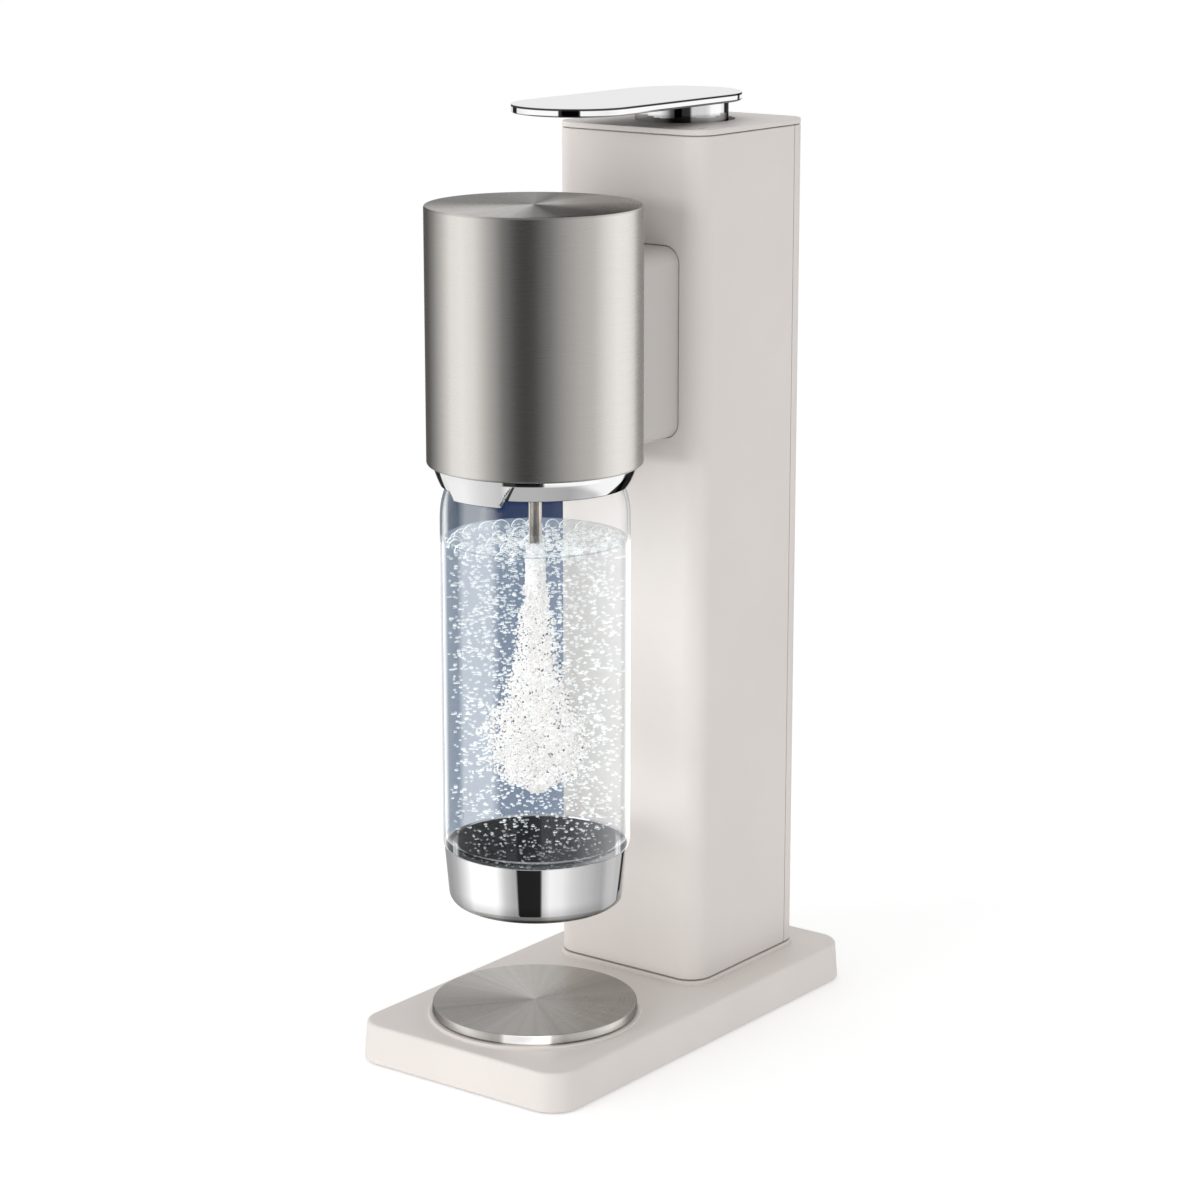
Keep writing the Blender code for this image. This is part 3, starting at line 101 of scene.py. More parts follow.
class Look:
    """A finish, or the studio's surroundings, built from nodes."""

    def __init__(self, owner):
        self.owner = owner
        owner.use_nodes = True
        self.tree = owner.node_tree
        self.tree.nodes.clear()

    def feed(self, entry, value):
        if isinstance(value, Value):
            self.tree.links.new(value.socket, entry)
        elif isinstance(value, tuple) and len(value) == 3 and entry.type == "RGBA":
            entry.default_value = (*value, 1)
        else:
            entry.default_value = value

    def node(self, kind, settings=None, output=0, **values):
        """A node of one type: its settings are made first, then its sockets are filled."""
        made = self.tree.nodes.new(kind)
        for key, value in (settings or {}).items():
            if key == "stops":
                ramp = made.color_ramp
                while len(ramp.elements) < len(value):
                    ramp.elements.new(0.5)
                for element, (place, colour) in zip(ramp.elements, value):
                    element.position = place
                    grey = (colour, colour, colour)
                    element.color = (*(colour if isinstance(colour, tuple) else grey), 1)
            else:
                setattr(made, key, value)
        for key, value in values.items():
            self.feed(made.inputs[int(key[1:]) if key[0] == "_" else key], value)
        return Value(self, made.outputs[output])

    def parts(self, vector):
        """The three parts of a vector."""
        first = self.node("ShaderNodeSeparateXYZ", Vector=vector)
        made = first.socket.node
        return [Value(self, socket) for socket in made.outputs]

    def vector(self, x, y, z):
        return self.node("ShaderNodeCombineXYZ", X=x, Y=y, Z=z)

    def place(self, output="Object"):
        made = self.tree.nodes.new("ShaderNodeTexCoord")
        return Value(self, made.outputs[output])

    def noise(self, vector, scale, detail=2.0, roughness=0.5):
        return self.node("ShaderNodeTexNoise", Vector=vector, Scale=scale, Detail=detail, Roughness=roughness)

    def mix(self, factor, first, second):
        """A colour between two colours."""
        made = self.tree.nodes.new("ShaderNodeMix")
        made.data_type = "RGBA"
        entries = [entry for entry in made.inputs if entry.type == "RGBA"]
        self.feed(made.inputs[0], factor)
        self.feed(entries[0], first)
        self.feed(entries[1], second)
        return Value(self, [socket for socket in made.outputs if socket.type == "RGBA"][0])

    def bands(self, x, y, table):
        """A value from a table of (degrees, value) round an upright axis: 0 is the front, 90 the right."""
        turn = x.math("ARCTAN2", x, 0 - y) / (2 * math.pi) + 0.5
        stops = [((degrees + 180) / 360, value) for degrees, value in table]
        return self.node("ShaderNodeValToRGB", {"stops": stops}, Fac=turn)

    def bump(self, height, distance, strength=1.0):
        return self.node("ShaderNodeBump", Height=height, Distance=distance, Strength=strength)

    def shader(self, **values):
        keys = {key.replace("_", " "): value for key, value in values.items()}
        return self.node("ShaderNodeBsdfPrincipled", **keys)

    def finish(self, shader):
        """Joins a shader to the output of the finish."""
        output = self.tree.nodes.new("ShaderNodeOutputMaterial")
        self.tree.links.new(shader.socket, output.inputs["Surface"])
        return self.owner

    def shaded(self, share, bright, gloss, bump):
        """A metal that shows by a share, over one that mirrors nothing: the share paints reflections and
        shade.
        """
        dark = self.shader(Base_Color=(0.01, 0.01, 0.01), Metallic=1.0, Roughness=gloss, Normal=bump,
                           Specular_Tint=(0.0, 0.0, 0.0))
        return self.finish(self.node("ShaderNodeMixShader", _0=share, _1=dark, _2=bright))

    def surface(self, **values):
        return self.finish(self.shader(**values))


def look(name):
    return Look(bpy.data.materials.new(name))


# ---------------------------------------------------------------- finishes


def moulded_plastic(name, colour, roughness, grain=0.03 * MM):
    """Satin moulded plastic: a very fine grain, and a slight cloudiness in colour and gloss."""
    made = look(name)
    place = made.place()
    cloud = made.noise(place, 14, 3)
    fine = made.noise(place, 1400, 2)
    darker = tuple(0.965 * c for c in colour)
    tint = made.mix(cloud.above(0.35, 0.7), darker, colour)
    gloss = roughness - 0.04 + 0.06 * cloud + 0.04 * fine
    return made.surface(Base_Color=tint, Roughness=gloss, Normal=made.bump(fine, grain, 0.5))


def brushed_steel(name, colour, centre, roughness, side=None, top=None, glint=None):
    """Steel brushed in fine lines round an upright axis, and in rings on its flat top.

    The tables side and top paint the broad light and dark reflections on its sides and top, streaked in
    spokes on the top, and glint paints a glowing highlight patch.
    """
    made = look(name)
    x, y, z = made.parts(made.place())
    x = x - centre[0]
    y = y - centre[1]
    reach = (x * x + y * y) ** 0.5
    flat = made.parts(made.place("Normal"))[2].above(0.6, 0.9)
    across = reach * flat + z * (1 - flat)
    turn = x.math("ARCTAN2", x, 0 - y)
    lines = made.noise(made.vector(turn * 1.5, 0.0, across * 2600), 1.0, 4, 0.7)
    broad = made.noise(made.vector(turn * 4, 0.0, across * 320), 1.0, 3, 0.6)
    worn = made.noise(made.vector(x, y, z), 22, 3)
    # Noise that streaks the painted reflections on the top in spokes.
    spoke_streaks = made.noise(made.vector(x / reach * 9, y / reach * 9, 0.0), 1.0, 5, 0.65)
    lightness = 0.9 + 0.16 * lines + 0.04 * broad
    tint = made.node("ShaderNodeVectorMath", {"operation": "SCALE"}, _0=colour, Scale=lightness)
    gloss = roughness - 0.05 + 0.08 * lines + 0.04 * worn
    bump = made.bump(lines + 0.2 * broad, 0.01 * MM, 0.4)
    lit = {}
    # Painted highlight: a glowing patch round the side, from the glint table.
    if glint:
        patch = made.bands(x, y, glint) * (1 - flat)
        lit = {"Emission_Color": made.mix(patch, (0, 0, 0), (1, 1, 1)), "Emission_Strength": 0.9}
    bright = made.shader(Base_Color=tint, Metallic=1.0, Roughness=gloss, Anisotropic=0.75, Normal=bump, **lit)
    if not side:
        return made.finish(bright)
    # Painted reflections: the side and top tables set how much of the bright metal shows.
    top_reflection = made.bands(x, y, top) * (0.78 + 0.44 * spoke_streaks)
    return made.shaded(made.bands(x, y, side) * (1 - flat) + top_reflection * flat, bright, gloss, bump)


def polished(name, colour, roughness, shade=None):
    """Polished plating, with the faint unevenness that wiping leaves, and painted dark reflections where a
    shade is given.
    """
    made = look(name)
    place = made.place()
    wiped = made.noise(place, 45, 4, 0.6)
    fine = made.noise(place, 900, 2)
    tint = made.mix(wiped, tuple(0.96 * c for c in colour), colour)
    gloss = roughness + 0.03 * wiped.above(0.45, 0.8) + 0.01 * fine
    bump = made.bump(wiped, 0.01 * MM, 0.15)
    bright = made.shader(Base_Color=tint, Metallic=1.0, Roughness=gloss, Normal=bump)
    if not shade:
        return made.finish(bright)
    return made.shaded(shade(made, *made.parts(place)), bright, gloss, bump)


def machined(name, colour, roughness):
    """Turned or plated metal of the inner pieces, with fine tool marks and some dulling."""
    made = look(name)
    place = made.place()
    z = made.parts(place)[2]
    marks = made.noise(made.vector(0.0, 0.0, z * 3000), 1.0, 2)
    dull = made.noise(place, 120, 4, 0.6)
    tint = made.mix(dull, tuple(0.8 * c for c in colour), colour)
    gloss = roughness + 0.12 * dull + 0.05 * marks
    bump = made.bump(marks, 0.01 * MM, 0.4)
    return made.surface(Base_Color=tint, Metallic=1.0, Roughness=gloss, Normal=bump)


def soft_rubber(name, colour):
    made = look(name)
    place = made.place()
    dust = made.noise(place, 160, 5, 0.65)
    tint = made.mix(dust.above(0.45, 0.8), colour, tuple(c + 0.03 for c in colour))
    bump = made.bump(dust, 0.05 * MM, 0.5)
    return made.surface(Base_Color=tint, Roughness=0.72 + 0.15 * dust, Normal=bump)


def clear_wall(name, water_line):
    """The clear bottle. Light goes straight through; edges look grey-green when empty, bright in water by a
    painted glow, and a painted sheen lies mostly on its right.
    """
    made = look(name)
    edge = made.node("ShaderNodeLayerWeight", output=1, Blend=0.5)
    x, y, z = made.parts(made.place())
    empty = z.above(water_line, water_line + 2 * MM)
    scuff_and_glow = made.noise(made.place(), 60, 4, 0.6)
    rim = edge.above(0.72, 0.93) * empty
    tint = made.mix(rim, (0.985, 0.992, 0.995), (0.5, 0.56, 0.55))
    gloss = 0.012 + 0.02 * scuff_and_glow.above(0.5, 0.8)
    # Painted sheen round the wall, and a painted glow at its edges under the water line, both given as
    # emission; the same noise varies the gloss and the glow.
    sheen = made.bands(x, y - AXIS_Y, WALL_SHEEN) * (1 - 0.55 * empty)
    glow = edge.above(0.7, 0.84) * (1 - empty) * (0.75 + 0.3 * scuff_and_glow) + sheen
    light = made.mix(glow, (0, 0, 0), (0.5, 0.5, 0.5))
    coat = {"Coat_Weight": 0.4, "Coat_IOR": 1.4, "Coat_Roughness": 0.01}
    return made.surface(Base_Color=tint, Roughness=gloss, IOR=BOTTLE_BENDING, Transmission_Weight=1.0,
                        Emission_Color=light, Emission_Strength=0.6, **coat)


def water_look(name):
    """Clear water, a little dim for the many bubbles too small to see."""
    made = look(name)
    ripple = made.noise(made.place(), 90, 3)
    tint = made.mix(ripple, (0.72, 0.74, 0.755), (0.745, 0.765, 0.78))
    bump = made.bump(ripple, 0.2 * MM, 0.2)
    return made.surface(Base_Color=tint, Roughness=0.0, IOR=WATER_BENDING, Transmission_Weight=1.0,
                        Normal=bump)


def foam_look(name, colour, glow):
    """White gas bubbles with a painted glow, dimmer in spots, and small grey patches of painted shade between
    them.
    """
    made = look(name)
    place = made.place()
    hollow = made.noise(place, 700, 3, 0.7)
    speck = made.noise(place, 260, 3, 0.6)
    dim = tuple(0.68 * c for c in colour)
    # Painted shade: a darker copy of the colour in small patches.
    tint = made.mix(hollow.above(0.3, 0.46), dim, colour)
    # Painted glow, dimmer in spots.
    light = made.mix(speck.above(0.3, 0.5), (0.4, 0.42, 0.45), (1.0, 1.0, 1.0))
    return made.surface(Base_Color=tint, Roughness=0.4, Emission_Color=light, Emission_Strength=glow)


def bubble_film(name, thin, thick, strength, rim=0.0):
    """A bubble: clear in the middle, with a painted glow that is white at its outline and bright on top, and
    painted shade that makes it fainter in the foot cup.
    """
    made = look(name)
    edge = made.node("ShaderNodeLayerWeight", output=1, Blend=0.5)
    swirl = made.noise(made.place(), 300, 3)
    upper = made.parts(made.place("Normal"))[2].above(-0.05, 0.25)
    film = (0.03 + 0.05 * swirl + 0.87 * edge.above(thin, thick)) * upper
    # Painted shade: fainter low down, in the foot cup.
    film = film * (0.2 + 0.8 * made.parts(made.place())[2].above(rim - 8 * MM, rim + 28 * MM))
    tint = made.mix(edge.above(0.2, 0.8), (0.75, 0.88, 0.9), (1.0, 1.0, 1.0))
    return made.surface(Base_Color=tint, Roughness=0.08, Alpha=film, Emission_Color=tint,
                        Emission_Strength=strength)


# ---------------------------------------------------------------- places, from the frame's own nodes


def low(node):
    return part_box(node)[0]


def high(node):
    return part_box(node)[1]


HUB_Y = (low("lever_hub").y + high("lever_hub").y) / 2
AXIS_Y = (low("bottle_body").y + high("bottle_body").y) / 2
DISC_Y = (low("drip_disc").y + high("drip_disc").y) / 2
HEAD_RADIUS = high("head_shell").x
BOTTLE_RADIUS = high("bottle_body").x
COLUMN_HALF = high("column_shell").x
COLUMN_FRONT = low("column_shell").y
COLUMN_SEAM = high("column_shell").y
COLUMN_REAR = high("rear_cover").y
COLUMN_CORNER = 12 * MM
COLUMN_WALL = 2.2 * MM
SEAM = 0.5 * MM
LIP_DROP = 1.1 * MM  # how far the paddle's rim hangs below its plate

BOTTLE_BENDING = 1.0002  # index of refraction, near one so that what is behind keeps its place
WATER_BENDING = 1.0001
WATER_RADIUS = BOTTLE_RADIUS - 1.6 * MM
WATER_FOOT = low("bottle_cup").z + 3.4 * MM
WATER_LINE = low("nozzle_tip").z + 21.5 * MM
CUP_ROOM = 37.2 * MM  # the water's radius down in the foot cup
FRONT_TURN = 38  # degrees from the front to the side that the studio faces

# Painted reflections, shade and glow, as (degrees, share) round an upright axis: 0 faces the front and 90 the
# right. The side and top tables paint how light the metal is, CUP_FOOT paints shade on the cup's foot, and
# DISC_GLINT and WALL_SHEEN paint a glow.
HEAD_SIDE = [
    (-180, 0.5), (-120, 0.8), (-70, 0.2), (-42, 0.11), (-34, 0.13), (-26, 0.27), (-18, 0.49), (-10, 0.74),
    (-2, 0.78), (6, 0.68), (14, 0.42), (22, 0.22), (30, 0.18), (38, 0.17), (46, 0.2), (54, 0.33),
    (62, 0.44), (70, 0.51), (78, 0.69), (86, 0.8), (94, 0.82), (102, 0.8), (110, 0.55), (118, 0.5),
    (150, 0.7), (180, 0.5),
]
HEAD_TOP = [
    (-180, 0.5), (-172, 0.38), (-157, 0.2), (-142, 0.33), (-127, 0.3), (-112, 0.27), (-82, 0.27),
    (-67, 0.26), (-52, 0.35), (-37, 0.49), (-22, 0.61), (-7, 0.68), (8, 0.64), (23, 0.56), (38, 0.25),
    (53, 0.09), (68, 0.11), (83, 0.15), (98, 0.27), (113, 0.38), (128, 0.54), (143, 0.62), (173, 0.58),
    (180, 0.5),
]
DISC_SIDE = [
    (-180, 0.5), (-110, 0.8), (-60, 0.3), (-42, 0.25), (-26, 0.4), (-10, 0.75), (-2, 0.75), (6, 0.55),
    (14, 0.4), (46, 0.9), (54, 0.45), (70, 0.55), (86, 0.8), (94, 0.75), (102, 0.4), (118, 0.35), (180, 0.5),
]
DISC_GLINT = [(19, 0), (21, 1), (45, 1), (48, 0)]
DISC_TOP = [
    (-180, 0.47), (-142, 0.54), (-127, 0.59), (-112, 0.58), (-97, 0.54), (-82, 0.48), (-67, 0.42),
    (-52, 0.38), (-37, 0.35), (-7, 0.4), (8, 0.43), (38, 0.43), (53, 0.38), (68, 0.43), (83, 0.44),
    (113, 0.42), (143, 0.42), (158, 0.39), (172, 0.41), (180, 0.47),
]
CUP_SIDE = [
    (-180, 0.6), (-120, 1), (-60, 0.6), (-42, 0.43), (-32, 0.4), (-22, 0.48), (-12, 0.76), (-6, 1), (12, 1),
    (18, 0.57), (24, 0.39), (40, 0.45), (46, 0.9), (54, 0.85), (60, 0.68), (70, 0.53), (78, 0.4), (83, 0.35),
    (88, 0.48), (94, 0.52), (98, 0.48), (103, 0.5), (108, 0.5), (113, 1), (118, 1), (180, 0.6),
]
CUP_FOOT = [(-180, 0), (-38, 0), (-10, 0.38), (72, 0.38), (92, 0.08), (110, 0), (180, 0)]
HUB_SIDE = [
    (-180, 0.8), (-90, 0.7), (-42, 0.6), (-32, 0.8), (-22, 0.95), (-2, 0.95), (8, 0.8), (15, 0.4), (19, 0.1),
    (24, 0.01), (39.5, 0.02), (42, 0.62), (58, 0.7), (66, 0.95), (80, 0.95), (88, 0.75), (96, 0.2),
    (101, 0.03), (112, 0.03), (118, 0.15), (130, 0.8), (180, 0.8),
]
TUBE_SIDE = [
    (-180, 0.6), (-60, 1), (-26, 1), (-18, 0.35), (20, 0.3), (34, 0.12), (52, 0.2), (72, 0.3), (84, 0.9),
    (128, 1), (180, 0.6),
]
TUBE_TOP = [(-180, 1), (180, 1)]
WALL_SHEEN = [
    (-180, 0.1), (-120, 0.0), (60, 0.0), (80, 0.18), (90, 0.3), (103, 0.34), (112, 0.1), (118, 0), (180, 0.1),
]
RING_SIDE = [
    (-180, 0.8), (-27, 0.95), (-8, 0.85), (8, 0.62), (19, 0.5), (22, 0.7), (38, 0.7), (58, 0.6), (70, 0.82),
    (90, 0.9), (180, 0.8),
]


def cup_shade(made, x, y, z):
    """Painted reflections: the grey sweeps round the cup, and painted shade on the dimmer foot of it."""
    foot = 1 - z.above(low("bottle_cup").z + 3 * MM, low("bottle_cup").z + 11 * MM)
    return made.bands(x, y - AXIS_Y, CUP_SIDE) * (1 - foot * made.bands(x, y - AXIS_Y, CUP_FOOT))


def hub_shade(made, x, y, z):
    """Painted sharp reflections round the lever's hub, painted dim where it would mirror the cap."""
    foot = 1 - z.above(high("top_cap").z + 2.5 * MM, high("top_cap").z + 4.5 * MM)
    return made.bands(x, y - HUB_Y, HUB_SIDE) * (1 - 0.45 * foot)


def lever_shade(made, x, y, z):
    """Painted reflections on the paddle's upright edge: a dark line under its top and two dark patches at its
    nose; and painted grey shade at its foot.
    """
    facing = made.parts(made.place("Normal"))[2]
    upright = 1 - facing.math("ABSOLUTE", facing).above(0.35, 0.5)
    under = 1 - facing.above(-0.5, -0.3)
    top = high("lever_plate").z
    line = z.above(top - 1.3 * MM, top - 1.15 * MM)
    nose = 1 - y.above(-0.02, 0.0)
    right_patch = x.above(11.0 * MM, 11.6 * MM) * (1 - x.above(19.5 * MM, 20.1 * MM))
    left_patch = x.above(-18.0 * MM, -17.5 * MM) * (1 - x.above(-13.5 * MM, -13.0 * MM))
    patch = right_patch + left_patch
    low_line = 1 - z.above(top - 3.2 * MM, top - 3.0 * MM)
    edge = upright * (line * 0.95 + (1 - line) * (0.06 + 0.92 * patch * nose + 0.8 * low_line * (1 - nose)))
    return 1 - edge.math("MAXIMUM", edge, under * (0.55 + 0.4 * patch))


def ring_shade(made, x, y, z):
    """Painted dark reflections along the ring: at its sides, under the head's rim, by the tab and at its
    foot.
    """
    y = y - AXIS_Y
    turn = x.math("ARCTAN2", x, 0 - y) * (180 / math.pi)
    lift = (z - low("bottle_holder").z) / MM
    right = (turn - 2.2 * lift).above(78, 80) * (1 - (turn - 2.2 * lift).above(100, 102))
    left = 1 - turn.above(-30, -28)
    rim = lift.above(10.1, 10.4) * turn.above(19, 21) * (1 - turn.above(42, 44))
    streak = lift.above(9.8, 10.3) * turn.above(42, 44) * (1 - turn.above(70, 80))
    foot = 1 - made.parts(made.place("Normal"))[2].above(-0.56, -0.48)
    front = 1 - y.above(-0.01, 0.0)
    flank = x / MM - 14 - 0.65 * lift
    crease = flank.above(-0.5, -0.2) * (1 - flank.above(0.6, 0.85)) * (1 - lift.above(9.8, 10.4)) * front
    clear = (1 - right * 0.97) * (1 - left * 0.97) * (1 - rim * 0.96)
    clear = clear * (1 - foot * 0.92) * (1 - crease * 0.94)
    sweep = made.bands(x, y, RING_SIDE)
    return clear * (sweep + (1 - sweep) * streak)


CREAM_COLOUR = (0.735, 0.69, 0.66)
STEEL_COLOUR = (0.92, 0.885, 0.84)

cream = moulded_plastic("satin cream", CREAM_COLOUR, 0.46)
# Painted shade: the neck's cream is a darker copy, for the shade that the head throws on it.
painted_shade_neck = moulded_plastic("cream in painted shade for the neck", tuple(0.745 * c for c in CREAM_COLOUR), 0.46)
chrome = polished("chrome plate", (0.93, 0.93, 0.93), 0.025)
cup_chrome = polished("cup chrome", (0.95, 0.95, 0.95), 0.025, cup_shade)
lever_chrome = polished("lever chrome", (0.93, 0.93, 0.93), 0.025, lever_shade)
hub_chrome = polished("hub chrome", (0.93, 0.93, 0.93), 0.03, hub_shade)
ring_chrome = polished("ring chrome", (0.95, 0.95, 0.95), 0.03, ring_shade)
head_steel = brushed_steel("head steel", STEEL_COLOUR, (0, AXIS_Y), 0.27, HEAD_SIDE, HEAD_TOP)
disc_steel = brushed_steel("disc steel", STEEL_COLOUR, (0, DISC_Y), 0.27, DISC_SIDE, DISC_TOP, DISC_GLINT)
tube_steel = brushed_steel("tube steel", (0.9, 0.82, 0.74), (0, AXIS_Y), 0.16, TUBE_SIDE, TUBE_TOP)
bottle_clear = clear_wall("clear bottle", WATER_LINE)
water_clear = water_look("water")
foam_white = foam_look("gas foam", (0.94, 0.91, 0.89), 0.12)
bubble_white = foam_look("fine bubbles", (0.9, 0.9, 0.9), 0.12)
film_clear = bubble_film("surface bubbles", 0.4, 0.7, 0.2)
bubble_film_small = bubble_film("small bubbles", 0.38, 0.54, 0.5, high("bottle_cup").z)
# Painted shade: a near-black sheet that stands for the shade inside the foot cup.
painted_foot_shade = moulded_plastic("painted shade in the foot cup", (0.012, 0.016, 0.022), 0.35)
# Painted shade: dark dots for the shade in the foam's gaps.
painted_foam_shade = moulded_plastic("painted shade in the foam", (0.06, 0.055, 0.05), 0.5)

# ---------------------------------------------------------------- ways of making a mesh


def closed_mesh(name, verts, faces):
    """A mesh whose faces all look outwards."""
    mesh = bpy.data.meshes.new(name)
    mesh.from_pydata([tuple(v) for v in verts], [], [tuple(f) for f in faces])
    mesh.validate()
    work = bmesh.new()
    work.from_mesh(mesh)
    bmesh.ops.recalc_face_normals(work, faces=work.faces)
    work.to_mesh(mesh)
    work.free()
    return mesh


def piece(name, verts, faces, finish, body, slot, replaced=(), crease=32):
    """A shaded piece that rides on a body and may stand for nodes of the frame."""
    mesh = closed_mesh(name, verts, faces)
    mesh.shade_smooth()
    mesh.set_sharp_from_angle(angle=math.radians(crease))
    mesh.materials.append(finish)
    made = bpy.data.objects.new(name, mesh)
    bpy.context.scene.collection.objects.link(made)
    if body:
        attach(made, body)
    if replaced:
        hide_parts(*replaced)
    return made


def bridge(rings, closed=False):
    """Points and faces of rings joined one to the next, with flat ends or joined up into a loop."""
    count = len(rings[0])
    verts = [point for ring in rings for point in ring]
    faces = []
    steps = len(rings) if closed else len(rings) - 1
    for i in range(steps):
        a = i * count
        b = (i + 1) % len(rings) * count
        for k in range(count):
            n = (k + 1) % count
            faces.append((a + k, a + n, b + n, b + k))
    if not closed:
        faces.append(tuple(reversed(range(count))))
        faces.append(tuple(range((len(rings) - 1) * count, len(rings) * count)))
    return verts, faces


def turned_mesh(profile, centre, segments, closed=False):
    """A profile of (radius, height) turned about an upright axis. A point on the axis closes an end."""
    verts = []
    starts = []
    for radius, height in profile:
        starts.append(len(verts))
        if radius == 0:
            verts.append((centre[0], centre[1], height))
            continue
        for k in range(segments):
            turn = 2 * math.pi * k / segments
            verts.append((centre[0] + radius * math.sin(turn), centre[1] - radius * math.cos(turn), height))
    faces = []
    pairs = list(zip(range(len(profile)), range(1, len(profile))))
    if closed:
        pairs.append((len(profile) - 1, 0))
    for a, b in pairs:
        for k in range(segments):
            n = (k + 1) % segments
            if profile[a][0] == 0:
                faces.append((starts[a], starts[b] + n, starts[b] + k))
            elif profile[b][0] == 0:
                faces.append((starts[a] + k, starts[a] + n, starts[b]))
            else:
                faces.append((starts[a] + k, starts[a] + n, starts[b] + n, starts[b] + k))
    return verts, faces


def arc(centre, radius, start, end, steps):
    """Points of (radius, height) round a centre, in degrees from outward towards up."""
    points = []
    for i in range(steps + 1):
        turn = math.radians(start + (end - start) * i / steps)
        points.append((centre[0] + radius * math.cos(turn), centre[1] + radius * math.sin(turn)))
    return points


def outline(half_x, half_y, radius, steps=10, centre=(0, 0)):
    """A rectangle with rounded corners, as points running anticlockwise seen from above."""
    points = []
    for i, (sx, sy) in enumerate(((1, -1), (1, 1), (-1, 1), (-1, -1))):
        for k in range(steps + 1):
            turn = math.radians(-90 + 90 * i + 90 * k / steps)
            x = sx * (half_x - radius) + radius * math.cos(turn)
            y = sy * (half_y - radius) + radius * math.sin(turn)
            points.append((centre[0] + x, centre[1] + y))
    return points


def slab(half_x, half_y, radius, centre, profile, steps=10):
    """Rounded rectangles at the heights of a profile of (inset, height), joined."""
    rings = []
    for inset, height in profile:
        ring = outline(half_x - inset, half_y - inset, max(radius - inset, 0.2 * MM), steps, centre)
        rings.append([(x, y, height) for x, y in ring])
    return bridge(rings)


def eased(inset, height, radius, upper, steps=5):
    """A profile's rounded edge of (inset, height), at the top of a piece or at its foot."""
    points = []
    for i in range(steps + 1):
        turn = math.radians(90 * i / steps)
        if upper:
            points.append((inset + radius * (1 - math.cos(turn)), height - radius * (1 - math.sin(turn))))
        else:
            points.append((inset + radius * (1 - math.sin(turn)), height + radius * (1 - math.cos(turn))))
    return points


def settle(made):
    """The mesh of a piece with its modifiers worked in."""
    bpy.context.view_layer.update()
    graph = bpy.context.evaluated_depsgraph_get()
    done = bpy.data.meshes.new_from_object(made.evaluated_get(graph))
    made.modifiers.clear()
    made.data = done
    return made


def cut(made, verts, faces, crease=32):
    """Takes the shape of a closed mesh out of a piece."""
    tool = bpy.data.objects.new("tool", closed_mesh("tool", verts, faces))
    bpy.context.scene.collection.objects.link(tool)
    step = made.modifiers.new("cut", "BOOLEAN")
    step.object = tool
    step.solver = "EXACT"
    settle(made)
    bpy.data.objects.remove(tool)
    made.data.shade_smooth()
    made.data.set_sharp_from_angle(angle=math.radians(crease))
    return made


# ---------------------------------------------------------------- base


def make_base():
    foot, top = low("base_shell").z, high("base_shell").z
    half_x, half_y = high("base_shell").x, high("base_shell").y
    skin = 19.7 * MM
    draft = 1.3 * MM
    wall = 2.4 * MM
    under = skin - wall
    profile = [(wall + draft, under), (wall + 0.3 * MM, foot + 0.3 * MM), (wall, foot)]
    profile += eased(0, foot, 0.5 * MM, False)
    for inset, height in eased(draft, skin, 1.5 * MM, True, 8):
        profile.append((inset, height))
    profile.append((draft + 1.9 * MM, skin))
    base = slab(half_x, half_y, 15 * MM, (0, 0), profile, 14)
    piece("base_casing", *base, cream, "root", "cream_plastic", ["base_shell"])
    middle = (COLUMN_FRONT + COLUMN_REAR) / 2
    deep = (COLUMN_REAR - COLUMN_FRONT) / 2 + 1 * MM
    plinth_profile = [(0, skin - 0.4 * MM)] + eased(0, top, 0.6 * MM, True) + [(0.9 * MM, top)]
    plinth = slab(COLUMN_HALF + 1 * MM, deep, 13 * MM, (0, middle), plinth_profile, 12)
    piece("base_plinth", *plinth, cream, "root", "cream_plastic")
    ring = high("drip_disc").x + 2 * MM
    step = low("drip_disc").z - 0.8 * MM
    edge = 0.6 * MM
    profile = [(ring, skin - 0.4 * MM)] + arc((ring - edge, step - edge), edge, 0, 90, 5)
    profile += [(ring - 1.2 * MM, step), (0, step)]
    profile = [(0, skin - 0.4 * MM)] + profile
    piece("base_disc_ring", *turned_mesh(profile, (0, DISC_Y), 128), cream, "root", "cream_plastic")


def make_disc():
    foot, top = low("drip_disc").z, high("drip_disc").z
    radius = high("drip_disc").x
    edge = 0.5 * MM
    wall = 1 * MM
    upper = radius - 0.3 * MM
    profile = [(0, top), (upper - edge - 0.3 * MM, top)]
    profile += arc((upper - edge, top - edge), edge, 90, 0, 5)
    profile += [(radius, foot + 0.3 * MM), (radius - 0.2 * MM, foot), (radius - wall, foot)]
    profile += [(upper - wall, top - wall), (0, top - wall)]
    profile = profile[::-1]
    plate = turned_mesh(profile, (0, DISC_Y), 160)
    piece("drip_plate", *plate, disc_steel, "drip_disc", "steel", ["drip_disc"])


# ---------------------------------------------------------------- column


def casing_section(inset, seam, rear, steps=12):
    """The column's casing in section: a U whose two ends stop at a seam."""
    side = 1 if rear else -1
    far = COLUMN_REAR if rear else COLUMN_FRONT
    ends = seam + side * inset
    outer = []
    inner = []
    inner_half = COLUMN_HALF - COLUMN_WALL + inset
    for shell, half, gap in ((outer, COLUMN_HALF - inset, inset), (inner, inner_half, COLUMN_WALL - inset)):
        radius = COLUMN_CORNER - gap
        centre_x = COLUMN_HALF - COLUMN_CORNER
        centre_y = far - side * COLUMN_CORNER
        shell.append((-half, ends))
        for k in range(steps + 1):
            turn = math.radians(90 * k / steps)
            shell.append((-centre_x - radius * math.cos(turn), centre_y + side * radius * math.sin(turn)))
        for k in range(steps + 1):
            turn = math.radians(90 - 90 * k / steps)
            shell.append((centre_x + radius * math.cos(turn), centre_y + side * radius * math.sin(turn)))
        shell.append((half, ends))
    section = outer + inner[::-1]
    return section[::-1] if rear else section


def casing(foot, top, seam, rear):
    ease = 0.35 * MM
    rings = []
    for inset, height in ((ease, foot), (0, foot + ease), (0, top - ease), (ease, top)):
        rings.append([(x, y, height) for x, y in casing_section(inset, seam, rear)])
    return bridge(rings)


